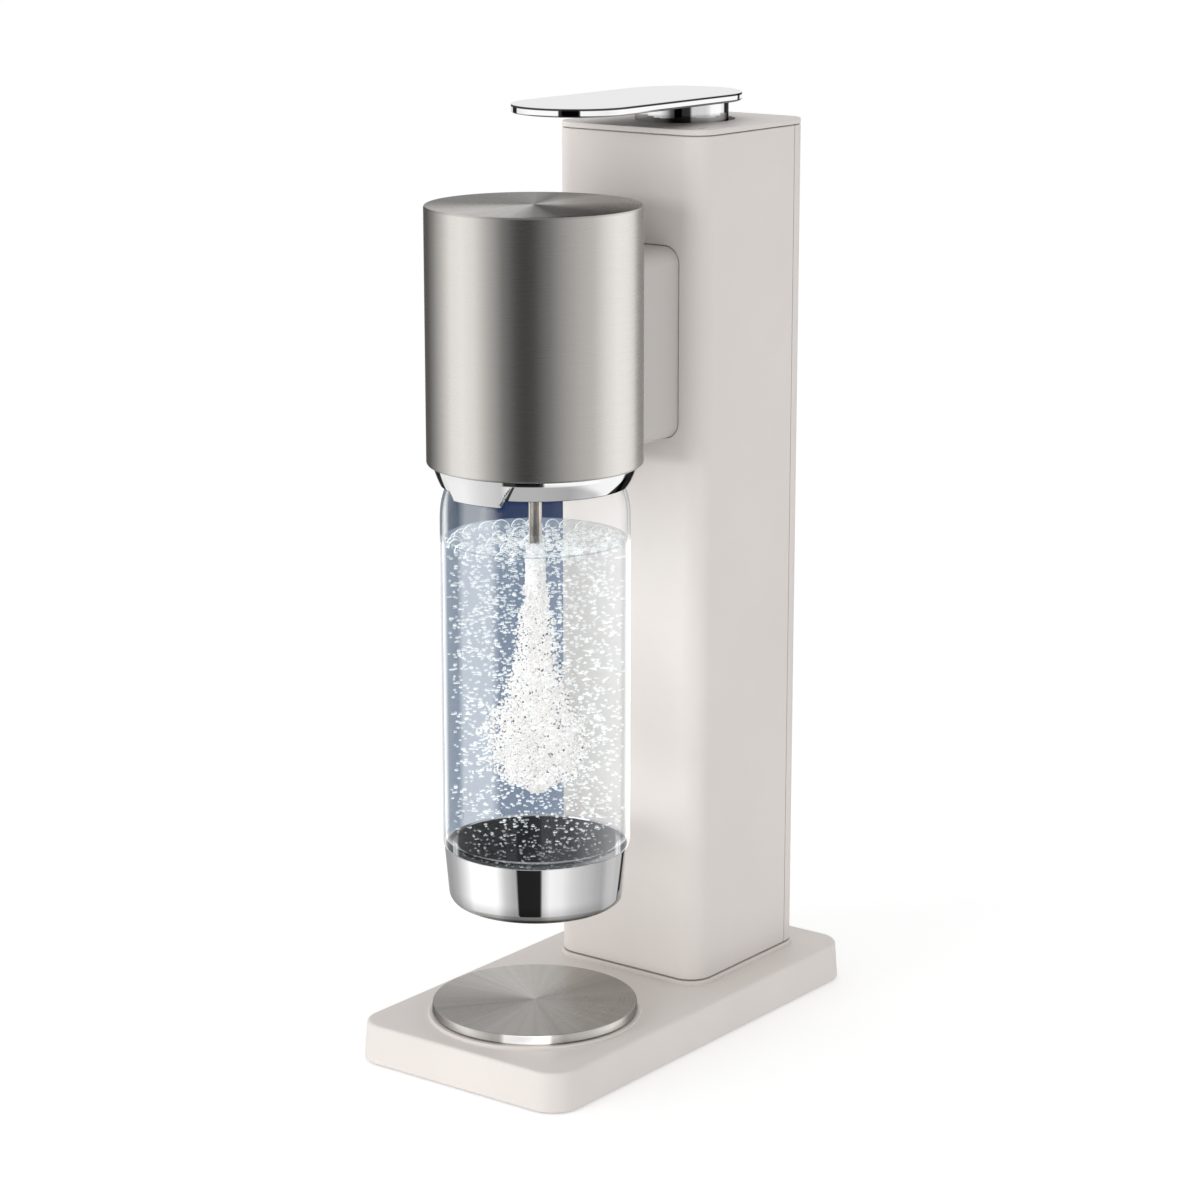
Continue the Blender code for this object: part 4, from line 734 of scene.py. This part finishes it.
def make_column():
    foot, top = low("column_shell").z, high("column_shell").z
    front = piece("column_casing", *casing(foot, top, COLUMN_SEAM, False), cream, "root", "cream_plastic",
                  ["column_shell"])
    neck_low, neck_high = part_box("neck_cover")
    gap = 0.4 * MM
    middle = (neck_low.z + neck_high.z) / 2
    window = outline(neck_high.x + gap, (neck_high.z - neck_low.z) / 2 + gap, 8 * MM + gap, 10, (0, middle))
    rings = [[(x, y, z) for x, z in window] for y in (COLUMN_FRONT + 5 * MM, COLUMN_FRONT - 5 * MM)]
    cut(front, *bridge(rings))

    rear = piece("rear_casing", *casing(low("rear_cover").z, high("rear_cover").z, low("rear_cover").y, True),
                 cream, "rear_cover", "cream_plastic", ["rear_cover"])
    notch = outline(12 * MM, 7 * MM, 5 * MM, 10, (0, high("rear_cover").z))
    rings = [[(x, y, z) for x, z in notch] for y in (COLUMN_REAR + 5 * MM, COLUMN_REAR - 5 * MM)]
    cut(rear, *bridge(rings))


def make_cap():
    foot = high("column_shell").z + SEAM
    top = high("top_cap").z
    middle = (COLUMN_FRONT + COLUMN_REAR) / 2
    deep = (COLUMN_REAR - COLUMN_FRONT) / 2
    profile = eased(0, foot, 0.3 * MM, False, 3) + eased(0, top, 0.55 * MM, True) + [(0.9 * MM, top)]
    cap = piece("cap_plate", *slab(COLUMN_HALF, deep, COLUMN_CORNER, (0, middle), profile, 14), cream, "root",
                "cream_plastic", ["top_cap"])
    hub = high("lever_hub").x + 0.5 * MM
    tool = [(0, foot - 5 * MM), (hub, foot - 5 * MM), (hub, top + 5 * MM), (0, top + 5 * MM)]
    cut(cap, *turned_mesh(tool, (0, HUB_Y), 96))
    mark_low, mark_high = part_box("cap_mark")
    ease = 0.2 * MM
    half_x = (mark_high.x - mark_low.x) / 2
    half_y = (mark_high.y - mark_low.y) / 2
    centre = ((mark_high.x + mark_low.x) / 2, (mark_high.y + mark_low.y) / 2)
    ends = [(-ease, mark_low.z - ease), (-ease, top + 1 * MM)]
    cut(cap, *slab(half_x, half_y, half_x, centre, ends, 10))
    lip_profile = [(0, foot - 5.5 * MM), (0, foot + 0.4 * MM)]
    lip = slab(COLUMN_HALF - 2.6 * MM, deep - 2.6 * MM, 9.4 * MM, (0, middle), lip_profile, 10)
    skirt = piece("cap_skirt", *lip, cream, "root", "cream_plastic")
    inner_profile = [(0, foot - 6 * MM), (0, foot + 1 * MM)]
    cut(skirt, *slab(COLUMN_HALF - 4.2 * MM, deep - 4.2 * MM, 7.8 * MM, (0, middle), inner_profile, 10))
    mark_profile = [(0, mark_low.z)] + eased(0, mark_high.z, 0.25 * MM, True, 3)
    badge = slab(half_x, half_y, half_x * 0.99, centre, mark_profile, 10)
    piece("cap_badge", *badge, chrome, "root", "chrome", ["cap_mark"])


# ---------------------------------------------------------------- neck and head


def make_neck():
    near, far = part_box("neck_cover")
    middle = (near.z + far.z) / 2
    rings = []
    for inset, at_head in ((0, True), (0, False), (COLUMN_WALL, False), (COLUMN_WALL, True)):
        ring = []
        for x, z in outline(far.x - inset, (far.z - near.z) / 2 - inset, 8 * MM - inset, 12, (0, middle)):
            y = AXIS_Y + math.sqrt((HEAD_RADIUS + 0.4 * MM) ** 2 - x * x) if at_head else far.y
            ring.append((x, y, z))
        rings.append(ring)
    verts, faces = bridge(rings, closed=True)
    faces = [tuple(reversed(face)) for face in faces]
    # The neck wears the darker cream of painted shade.
    piece("neck_casing", verts, faces, painted_shade_neck, "root", "cream_plastic", ["neck_cover"])


def make_head():
    rim, top = low("head_shell").z, high("head_shell").z
    radius = HEAD_RADIUS
    wall = 0.9 * MM
    edge = 1.1 * MM
    roll = 1.5 * MM
    profile = [(0, top), (radius - edge - 0.4 * MM, top)]
    profile += arc((radius - edge, top - edge), edge, 90, 0, 6)
    profile += [(radius, top - edge - 0.4 * MM), (radius, rim + roll + 0.4 * MM)]
    profile += arc((radius - roll, rim + roll), roll, 0, -90, 6)
    profile += [(radius - wall - 0.9 * MM, rim + 0.7 * MM), (radius - wall, rim + 2 * MM)]
    profile += [(radius - wall, top - wall), (0, top - wall)]
    shell = piece("head_casing", *turned_mesh(profile[::-1], (0, AXIS_Y), 192), head_steel, "root", "steel",
                  ["head_shell"])
    arm_low, arm_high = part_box("bridge_arm")
    gap = 0.5 * MM
    window = outline(arm_high.x + gap, (arm_high.z - arm_low.z) / 2 + gap, 1 * MM, 2,
                     (0, (arm_high.z + arm_low.z) / 2))
    rings = [[(x, y, z) for x, z in window] for y in (COLUMN_FRONT, AXIS_Y)]
    cut(shell, *bridge(rings))


# ---------------------------------------------------------------- holder


def make_holder():
    """The chromed bowl that grips the bottle, drawn out into a thumb tab at the front."""
    near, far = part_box("bottle_holder")
    radius = far.x
    above = 9 * MM
    pivot = far.z - above
    below = 21 * MM
    wall = 1.5 * MM
    root = 15 * MM
    drop = pivot - near.z
    root_reach = math.sqrt(radius**2 - root**2)
    taper = 1.2 * MM
    half_top, half_foot = 20 * MM, 14 * MM

    def tab_half(depth):
        return half_top + (half_foot - half_top) * (depth - root) / (drop - root)

    def smooth(t):
        t = min(max(t, 0), 1)
        return t * t * (3 - 2 * t)

    half_at_rim = tab_half(below)
    turns = set()
    for k in range(192):
        turns.add(round(360 * k / 192, 4))
    for k in range(-110, 111):
        turns.add(round(k * 0.25 % 360, 4))
    turns = sorted(turns)
    rings = []
    steps = 26
    for turn in turns:
        way = math.radians(turn)
        side = abs(math.sin(way)) * root_reach if math.cos(way) > 0 else 1
        if side < half_foot:
            depth = drop
        elif side < half_at_rim:
            depth = drop + (below - drop) * (side - half_foot) / (half_at_rim - half_foot)
        else:
            depth = below

        def reach(level, gap=0.0):
            """How far out the wall is at a depth below the pivot."""
            bowl = math.sqrt(max(radius**2 - level**2, 0)) if level < below else math.sqrt(
                radius**2 - below**2) - (level - below) * 0.5
            if level <= root or side > half_top:
                return bowl - gap
            tab = root_reach - taper * (level - root) / (drop - root)
            weight = smooth((tab_half(level) - side) / (0.9 * MM) + 0.5)
            return bowl + (tab - bowl) * weight - gap

        section = []
        for i in range(steps + 1):
            level = -above + (depth + above) * i / steps
            section.append((reach(level), level))
        lip = wall / 2
        last = reach(depth)
        for k in range(1, 6):
            bend = math.pi * k / 6
            section.append((last - lip + lip * math.cos(bend), depth + 0.6 * lip * math.sin(bend)))
        for i in range(steps, -1, -1):
            level = -above + (depth + above) * i / steps
            section.append((reach(level, wall), level))
        rings.append([(r * math.sin(way), AXIS_Y - r * math.cos(way), pivot - level) for r, level in section])
    verts, faces = bridge(rings, closed=True)
    piece("holder_ring", verts, faces, ring_chrome, "holder", "chrome", ["bottle_holder"], crease=50)


# ---------------------------------------------------------------- bottle


def shoulder(radius, foot, top, neck, steps=28):
    """Points from the neck's foot down over the bottle's rounded shoulder."""
    points = []
    for i in range(steps + 1):
        rise = 1 - i / steps
        points.append((neck + (radius - neck) * (1 - rise**2.5), foot + (top - foot) * rise))
    return points


def make_bottle():
    foot = low("bottle_cup").z
    mouth = high("bottle_body").z
    rim = high("bottle_cup").z
    wall = 1.2 * MM
    radius = BOTTLE_RADIUS
    neck, bore = 15.5 * MM, 12.5 * MM
    neck_foot = mouth - 28.7 * MM
    shoulder_foot = mouth - 69.7 * MM
    inside = radius - wall
    foot_in = 38.9 * MM
    lip = 0.5 * MM
    profile = [(bore, mouth - lip), (bore + lip, mouth), (neck - lip, mouth), (neck, mouth - lip)]
    rib = neck + 1.2 * MM
    for turn in range(3):
        level = mouth - (4 + 4 * turn) * MM
        profile += [(neck, level), (rib, level - 0.8 * MM), (rib, level - 1.4 * MM), (neck, level - 2.2 * MM)]
    ledge = neck_foot + 4 * MM
    collar = 18 * MM
    profile += [(neck, ledge + 3 * MM), (collar, ledge + 2 * MM), (collar, ledge), (neck, ledge - 1 * MM)]
    profile += shoulder(radius, shoulder_foot, neck_foot, neck)
    foot_out = foot_in + 1 * MM
    profile += [(radius, rim + 1.5 * MM), (radius - 0.3 * MM, rim + 0.4 * MM), (foot_out, rim + 0.3 * MM)]
    base = foot + 1.1 * MM
    bend = 6 * MM
    centre = (foot_out - bend, base + bend)
    profile += [(foot_out, base + bend)] + arc(centre, bend, 0, -90, 8) + [(0, base)]
    inner = [(0, base + wall)] + arc(centre, 4.8 * MM, -90, 0, 8)
    inner += [(foot_in - 0.2 * MM, rim + wall), (inside, rim + 3.6 * MM)]
    inner += shoulder(inside, shoulder_foot, neck_foot - wall, bore)[::-1]
    verts, faces = turned_mesh(profile + inner, (0, AXIS_Y), 144, closed=True)
    piece("bottle_shell", verts, [tuple(reversed(f)) for f in faces], bottle_clear, "bottle", "clear_bottle",
          ["bottle_body"])


def make_cup():
    foot, rim = low("bottle_cup").z, high("bottle_cup").z
    radius = high("bottle_cup").x
    lower = BOTTLE_RADIUS - 2.5 * MM
    wall = 0.8 * MM
    bend = 6 * MM
    lip = wall / 2
    profile = [(0, foot), (lower - bend - 1 * MM, foot)]
    profile += arc((lower - bend, foot + bend), bend, -90, -4, 12)
    profile += [(radius, rim - lip)] + arc((radius - lip, rim - lip), lip, 20, 160, 6)
    profile += arc((lower - bend, foot + bend), bend - wall, -4, -90, 10)
    profile += [(0, foot + wall)]
    piece("bottle_foot_cup", *turned_mesh(profile, (0, AXIS_Y), 160), cup_chrome, "bottle", "chrome",
          ["bottle_cup"])
    # A near-black sheet of painted shade inside the cup.
    inner = radius - wall - 0.1 * MM
    sheet_top = rim - 0.8 * MM
    turn_in = arc((lower - bend, foot + bend), bend - wall - 0.1 * MM, -90, -4, 10)
    turn_out = arc((lower - bend, foot + bend), bend - wall - 0.4 * MM, -4, -90, 10)
    profile = [(0, foot + wall + 0.1 * MM)] + turn_in + [(inner, sheet_top), (inner - 0.3 * MM, sheet_top)]
    profile += turn_out + [(0, foot + wall + 0.4 * MM)]
    piece("foot_shade_sheet", *turned_mesh(profile, (0, AXIS_Y), 96), painted_foot_shade, "bottle", "black_plastic")


# ---------------------------------------------------------------- water, bubbles and gas


RISING_BUBBLES = 3800
TOP_BUBBLES = 600  # close under the surface
PLUME_LUMPS = 10500
TIP_LUMPS = 1500  # foam that clings to the nozzle's tip
TUBE_LUMPS = 700
PLUME_TOP, PLUME_FOOT = 20, -101
PLUME = [
    (PLUME_TOP, 3.3), (8, 3.6), (3.5, 4.8), (-3, 6.7), (-18, 9.2), (-36, 12), (-53, 16.5), (-64, 23),
    (-73, 28), (-84, 27), (-93, 20), (-98, 8), (PLUME_FOOT, 3),
]  # (height over the nozzle's tip, reach), in millimetres


def water_reach(height, rim):
    return WATER_RADIUS if height > rim + 5 * MM else CUP_ROOM


def round_axis(reach, turn, height):
    """The point at a distance and a turn round the bottle's axis."""
    return reach * math.sin(turn), AXIS_Y - reach * math.cos(turn), height


def lump(rings, segments):
    """A unit ball of few faces."""
    verts = [(0, 0, 1)]
    for i in range(1, rings):
        tilt = math.pi * i / rings
        for k in range(segments):
            turn = 2 * math.pi * (k + 0.5 * (i % 2)) / segments
            verts.append((math.sin(tilt) * math.cos(turn), math.sin(tilt) * math.sin(turn), math.cos(tilt)))
    verts.append((0, 0, -1))
    faces = [(0, 1 + k, 1 + (k + 1) % segments) for k in range(segments)]
    for i in range(rings - 2):
        a = 1 + i * segments
        b = a + segments
        for k in range(segments):
            n = (k + 1) % segments
            faces.append((a + k, b + k, b + n, a + n))
    a = 1 + (rings - 2) * segments
    last = len(verts) - 1
    faces += [(a + (k + 1) % segments, a + k, last) for k in range(segments)]
    return verts, faces


def dome(segments=12):
    """The upper half of a unit bubble, closed underneath."""
    verts = [(0, 0, 1.0)]
    tilts = (24, 46, 67, 88)
    for tilt in tilts:
        lean = math.radians(tilt)
        for k in range(segments):
            turn = 2 * math.pi * k / segments
            verts.append((math.sin(lean) * math.cos(turn), math.sin(lean) * math.sin(turn), math.cos(lean)))
    verts.append((0, 0, 0.02))
    last = len(verts) - 1
    faces = [(0, 1 + k, 1 + (k + 1) % segments) for k in range(segments)]
    for row in range(len(tilts) - 1):
        a = 1 + row * segments
        faces += [(a + k, a + segments + k, a + segments + (k + 1) % segments, a + (k + 1) % segments)
                  for k in range(segments)]
    a = last - segments
    faces += [(a + (k + 1) % segments, a + k, last) for k in range(segments)]
    return verts, faces


def scatter(shape, places):
    """Copies of a shape, each at its place and size, as one mesh."""
    points, loops = shape
    verts = []
    faces = []
    for x, y, z, size in places:
        start = len(verts)
        verts += [(x + size * a, y + size * b, z + size * c) for a, b, c in points]
        faces += [tuple(start + i for i in loop) for loop in loops]
    return verts, faces


def blend_between(table, height):
    """A value read off a short table of (height, value), highest first."""
    for (h1, v1), (h2, v2) in zip(table, table[1:]):
        if h2 <= height <= h1:
            return v2 + (v1 - v2) * (height - h2) / (h1 - h2)
    return 0.0


def make_water():
    rim = high("bottle_cup").z
    bend = 5.5 * MM
    side, line = WATER_RADIUS, WATER_LINE
    profile = [(0, WATER_FOOT), (31 * MM, WATER_FOOT)]
    profile += arc((31.5 * MM, WATER_FOOT + bend), bend, -85, 0, 6)
    profile += [(CUP_ROOM, rim + 2 * MM), (side, rim + 6 * MM), (side, line + 1.4 * MM)]
    profile += [(side - 1 * MM, line + 0.4 * MM), (side - 2.5 * MM, line), (0, line)]
    piece("water_body", *turned_mesh(profile, (0, AXIS_Y), 96), water_clear, "bottle", "clear_bottle")


def make_bubbles(rng):
    """Bubbles that rise in small clusters, more of them close under the surface, and fine ones between."""
    rim = high("bottle_cup").z
    tube = high("nozzle_tube").x
    places = []
    while len(places) < RISING_BUBBLES:
        height = WATER_FOOT + 3 * MM + (WATER_LINE - WATER_FOOT - 5 * MM) * rng.random() ** 0.85
        size = rng.uniform(0.5, 0.95) * MM * (1 if height > rim + 12 * MM else 0.75)
        limit = water_reach(height, rim) - 1.6 * MM
        spread = limit * rng.random() ** 0.48
        turn = rng.uniform(0, 2 * math.pi)
        if spread < tube + 3 * MM and height > WATER_LINE - 40 * MM:
            continue
        x, y, height = round_axis(spread, turn, height)
        for _ in range(rng.choice((1, 1, 1, 1, 2))):
            if math.hypot(x, y - AXIS_Y) < limit:
                places.append((x, y, height, size))
            way = rng.uniform(0, 2 * math.pi)
            x += 1.7 * size * math.cos(way)
            y += 1.7 * size * math.sin(way)
            height += rng.uniform(-0.3, 0.3) * size
            size *= rng.uniform(0.75, 1.1)
    while len(places) < RISING_BUBBLES + TOP_BUBBLES:
        spread = WATER_RADIUS * rng.uniform(0.12, 0.98)
        turn = rng.uniform(0, 2 * math.pi)
        level = WATER_LINE - rng.uniform(0, 2.2) * MM
        places.append((*round_axis(spread, turn, level), rng.uniform(0.6, 1.1) * MM))
    piece("rising_bubbles", *scatter(dome(), places), bubble_film_small, "bottle", "clear_bottle", crease=70)
    dots = []
    for x, y, height, size in places[::3]:
        if height < rim + 2 * MM:
            continue
        spot = size * rng.uniform(0.2, 0.34)
        dots.append((x + rng.uniform(-1, 1) * size, y + rng.uniform(-1, 1) * size, height - size, spot))
    piece("fine_bubbles", *scatter(lump(3, 5), dots), bubble_white, "bottle", "clear_bottle", crease=80)


def make_plume(rng):
    """The gas that shoots down from the nozzle and widens below, and the foam on the nozzle and its tube."""
    tip = low("nozzle_tip").z
    tube = high("nozzle_tube").x
    plume = [(tip + height * MM, reach) for height, reach in PLUME]
    large = []
    small = []
    shade_dots = []
    while len(large) + len(small) < PLUME_LUMPS:
        height = rng.uniform(tip + PLUME_FOOT * MM, tip + PLUME_TOP * MM)
        reach = blend_between(plume, height) * MM
        if rng.random() > (reach / (27 * MM)) ** 1.3 + 0.14:
            continue
        spread = reach * rng.random() ** 0.5
        turn = rng.uniform(0, 2 * math.pi)
        spread *= 0.88 + 0.22 * math.sin(3 * turn + height * 190) * math.sin(2 * turn - height * 330)
        if spread < tube + 1.2 * MM and height > tip:
            spread = tube + rng.uniform(0.3, 1.2) * MM
        place = round_axis(spread, turn, height)
        # Some lumps on the outside become dark dots of painted shade.
        outside = height < tip - 14 * MM and spread > 0.75 * reach
        if outside and rng.random() < 0.2 * (height - tip + 95 * MM) / (80 * MM):
            shade_dots.append((*place, rng.uniform(0.3, 0.6) * MM))
            continue
        size = rng.uniform(0.25, 0.75) * MM
        target = large if size > 0.55 * MM else small
        target.append((*place, size))
    nozzle = high("nozzle_tip")
    for _ in range(TIP_LUMPS):
        spread = nozzle.x + rng.uniform(0.0, 0.35) * MM
        turn = rng.uniform(0, 2 * math.pi)
        height = rng.uniform(tip - 2 * MM, min(nozzle.z + 0.5 * MM, WATER_LINE - 1 * MM))
        large.append((*round_axis(spread, turn, height), rng.uniform(0.45, 0.75) * MM))
    for _ in range(TUBE_LUMPS):
        spread = tube + rng.uniform(0.35, 1.1) * MM
        turn = rng.uniform(0, 2 * math.pi)
        height = rng.uniform(tip - 5 * MM, WATER_LINE - 1 * MM)
        small.append((*round_axis(spread, turn, height), rng.uniform(0.3, 0.5) * MM))
    piece("gas_plume", *scatter(lump(4, 6), large), foam_white, "bottle", "clear_bottle", crease=80)
    piece("gas_spray", *scatter(lump(3, 5), small), foam_white, "bottle", "clear_bottle", crease=80)
    # Dark dots of painted shade in the foam.
    piece("foam_shade_dots", *scatter(lump(3, 5), shade_dots), painted_foam_shade, "bottle", "clear_bottle", crease=80)


def make_surface_bubbles(rng):
    """Large domes on the water: one round the tube, and two rings of them."""
    domes = [(0, AXIS_Y, WATER_LINE - 3.8 * MM, 7 * MM)]
    for ring, count, size in ((20, 9, 4.0), (37.6, 28, 4.2)):
        for k in range(count):
            turn = 2 * math.pi * (k + rng.uniform(-0.15, 0.15)) / count
            big = size * rng.uniform(0.85, 1.1) * MM
            domes.append((*round_axis(ring * MM, turn, WATER_LINE - 0.45 * big), big))
    points, loops = lump(12, 20)
    kept = [i for i, point in enumerate(points) if point[2] > -0.2]
    index = {old: new for new, old in enumerate(kept)}
    faces = [tuple(index[i] for i in loop) for loop in loops if all(i in index for i in loop)]
    cap = ([points[i] for i in kept], faces)
    piece("surface_bubbles", *scatter(cap, domes), film_clear, "bottle", "clear_bottle", crease=60)


# ---------------------------------------------------------------- lever


def make_lever():
    near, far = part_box("lever_plate")
    half = far.x
    middle = (near.y + far.y) / 2
    deep = (far.y - near.y) / 2
    foot = near.z - LIP_DROP
    profile = [(1.6 * MM, foot), (1.0 * MM, foot), (0.55 * MM, foot + 0.15 * MM)]
    profile += [(0.2 * MM, foot + 0.45 * MM)]
    profile += [(0.04 * MM, foot + 0.8 * MM), (0, foot + 1.1 * MM)]
    profile += eased(0, far.z, 0.5 * MM, True, 5) + [(0.9 * MM, far.z)]
    plate = slab(half, deep, half - 0.05 * MM, (0, middle), profile, 40)
    piece("lever_paddle", *plate, lever_chrome, "lever", "chrome", ["lever_plate"])


make_base()
make_disc()
make_column()
make_cap()
make_neck()
make_head()
make_holder()
make_bottle()
make_cup()
make_water()
droplets = random.Random(7)
make_bubbles(droplets)
make_plume(droplets)
make_surface_bubbles(droplets)
make_lever()

CLEAR_PIECES = ["bottle_shell", "bottle_foot_cup", "foot_shade_sheet", "water_body"]
CLEAR_PIECES += ["rising_bubbles", "fine_bubbles"]
CLEAR_PIECES += ["surface_bubbles", "gas_plume", "gas_spray", "foam_shade_dots"]
for name in CLEAR_PIECES:
    bpy.data.objects[name].visible_shadow = False

# ---------------------------------------------------------------- finishes of the frame's own nodes

black_plastic = moulded_plastic("black plastic", (0.028, 0.028, 0.03), 0.5, 0.06 * MM)
slot_finish = {
    "cream_plastic": cream,
    "steel": tube_steel,
    "chrome": chrome,
    "clear_bottle": bottle_clear,
    "black_plastic": black_plastic,
    "rubber": soft_rubber("foot rubber", (0.022, 0.022, 0.024)),
    "silicone": soft_rubber("seal silicone", (0.72, 0.72, 0.7)),
    "frame_paint": moulded_plastic("frame paint", (0.2, 0.2, 0.21), 0.55, 0.08 * MM),
    "brass": machined("valve brass", (0.78, 0.57, 0.28), 0.25),
    "zinc": machined("zinc plate", (0.6, 0.61, 0.63), 0.3),
    "alloy": machined("spun alloy", (0.7, 0.71, 0.73), 0.32),
}
for part in frame["record"]["subparts"]:
    node = frame["nodes"][part["node"]]
    node.data.materials.clear()
    finish = hub_chrome if part["node"] == "lever_hub" else slot_finish[part["material_slot"]]
    node.data.materials.append(finish)
    node.data.shade_smooth()
    node.data.set_sharp_from_angle(angle=math.radians(40))

# ---------------------------------------------------------------- studio


def make_floor():
    floor_look = look("studio floor")
    cloud = floor_look.noise(floor_look.place(), 0.6, 2)
    tint = floor_look.mix(cloud, (0.9, 0.9, 0.9), (0.93, 0.93, 0.93))
    white = floor_look.surface(Base_Color=tint, Roughness=0.9, Emission_Color=(1, 1, 1),
                               Emission_Strength=0.25)
    reach = 25
    turns = [math.radians(degrees) for degrees in range(0, 360, 5)]
    ring = [(reach * math.cos(turn), reach * math.sin(turn), 0) for turn in turns]
    floor = piece("studio_floor", ring, [range(len(ring))], white, None, None)
    floor.visible_glossy = False
    floor.visible_transmission = False


def cloth_stops(deep, lilac, stripe, lilac_from, lilac_to):
    """One fold of the blue cloth that hangs behind the bottle."""
    pale = (0.95, 0.97, 1.0)
    stops = [(0, deep), (0.45, deep), (lilac_from, lilac), (lilac_to, lilac), (0.735, stripe), (0.8, stripe)]
    return stops + [(0.835, pale), (0.95, pale), (0.985, deep)]


def make_surroundings():
    """White to the eye, boards and a pale sky for the metal, and folds of blue cloth for clear pieces."""
    world = bpy.data.worlds.new("studio")
    bpy.context.scene.world = world
    sky = Look(world)
    x, y, z = sky.parts(sky.place("Generated"))
    turn = math.radians(FRONT_TURN)
    ahead = x * math.sin(turn) - y * math.cos(turn)
    right = x * math.cos(turn) + y * math.sin(turn)
    around = right.math("ARCTAN2", right, ahead) / (2 * math.pi) + 0.5
    boards = [
        (-180, 0.8), (-150, 0.85), (-120, 1.0), (-90, 1.15), (-46, 1.12), (-26, 1.1), (-24, 0.04), (5, 0.04),
        (7, 1.1), (60, 1.0), (90, 1.15), (120, 1.1), (131, 1.1), (133, 0.06), (143, 0.06), (146, 1.1),
        (180, 0.8),
    ]
    stops = [((degrees + 180) / 360, value) for degrees, value in boards]
    mirrored = sky.node("ShaderNodeValToRGB", {"stops": stops}, Fac=around)
    gloss = sky.mix(z.above(-0.05, 0.12), mirrored, (0.86, 0.86, 0.86))
    gloss = sky.mix(z.above(-0.72, -0.64), (0.68, 0.68, 0.68), gloss)

    cloth = around * 140 + 0.111
    fold = cloth - cloth.math("FLOOR", cloth)
    wet = cloth_stops((0.28, 0.345, 0.455), (0.74, 0.79, 0.87), (0.31, 0.38, 0.48), 0.51, 0.7)
    dry = cloth_stops((0.002, 0.018, 0.08), (0.34, 0.36, 0.4), (0.05, 0.08, 0.13), 0.55, 0.68)
    through_wet = sky.node("ShaderNodeValToRGB", {"stops": wet}, Fac=fold)
    through_dry = sky.node("ShaderNodeValToRGB", {"stops": dry}, Fac=fold)
    path = sky.tree.nodes.new("ShaderNodeLightPath")
    seen = {socket.name: Value(sky, socket) for socket in path.outputs}
    cloth_seen = sky.mix(seen["Transmission Depth"].above(4.4, 4.6), through_dry, through_wet)
    undimmed = 1 - seen["Diffuse Depth"].above(0.4, 0.6)
    shiny = seen["Glossy Depth"].above(0.4, 0.6) * undimmed
    straight = seen["Is Transmission Ray"] * undimmed * (1 - shiny)
    soft = sky.mix(z.above(0.1, 0.9), (0.63, 0.63, 0.63), (0.9, 0.9, 0.9))
    colour = sky.mix(shiny.math("MAXIMUM", shiny, seen["Is Glossy Ray"]), soft, gloss)
    colour = sky.mix(straight, colour, cloth_seen)
    colour = sky.mix(seen["Is Camera Ray"], colour, (1.0, 1.0, 1.0))
    shine = sky.node("ShaderNodeBackground", Color=colour, Strength=1.0)
    sky.tree.links.new(shine.socket, sky.tree.nodes.new("ShaderNodeOutputWorld").inputs["Surface"])


def soft_box(name, place, aim, size, power):
    data = bpy.data.lights.new(name, "AREA")
    data.shape = "RECTANGLE"
    data.size, data.size_y = size
    data.energy = power
    made = bpy.data.objects.new(name, data)
    made.location = place
    made.rotation_euler = (Vector(aim) - Vector(place)).to_track_quat("-Z", "Y").to_euler()
    made.visible_glossy = False
    bpy.context.scene.collection.objects.link(made)


def make_camera():
    data = bpy.data.cameras.new("camera")
    data.lens = 98.8
    data.sensor_width = 36
    camera = bpy.data.objects.new("camera", data)
    camera.location = (0.9279, -1.2356, 0.5858)
    downward, sideways = 0.237, 0.647
    camera.rotation_euler = (math.pi / 2 - downward, 0, sideways)
    bpy.context.scene.collection.objects.link(camera)
    bpy.context.scene.camera = camera
    bpy.context.scene.view_settings.view_transform = "Standard"


make_floor()
make_surroundings()
soft_box("key_light", (-0.75, -2.2, 0.5), (0, 0, 0.22), (1.2, 1.2), 17.8)
soft_box("low_fill", (0.0, -1.7, 0.12), (0, 0, 0.1), (0.9, 0.5), 2.8)
make_camera()
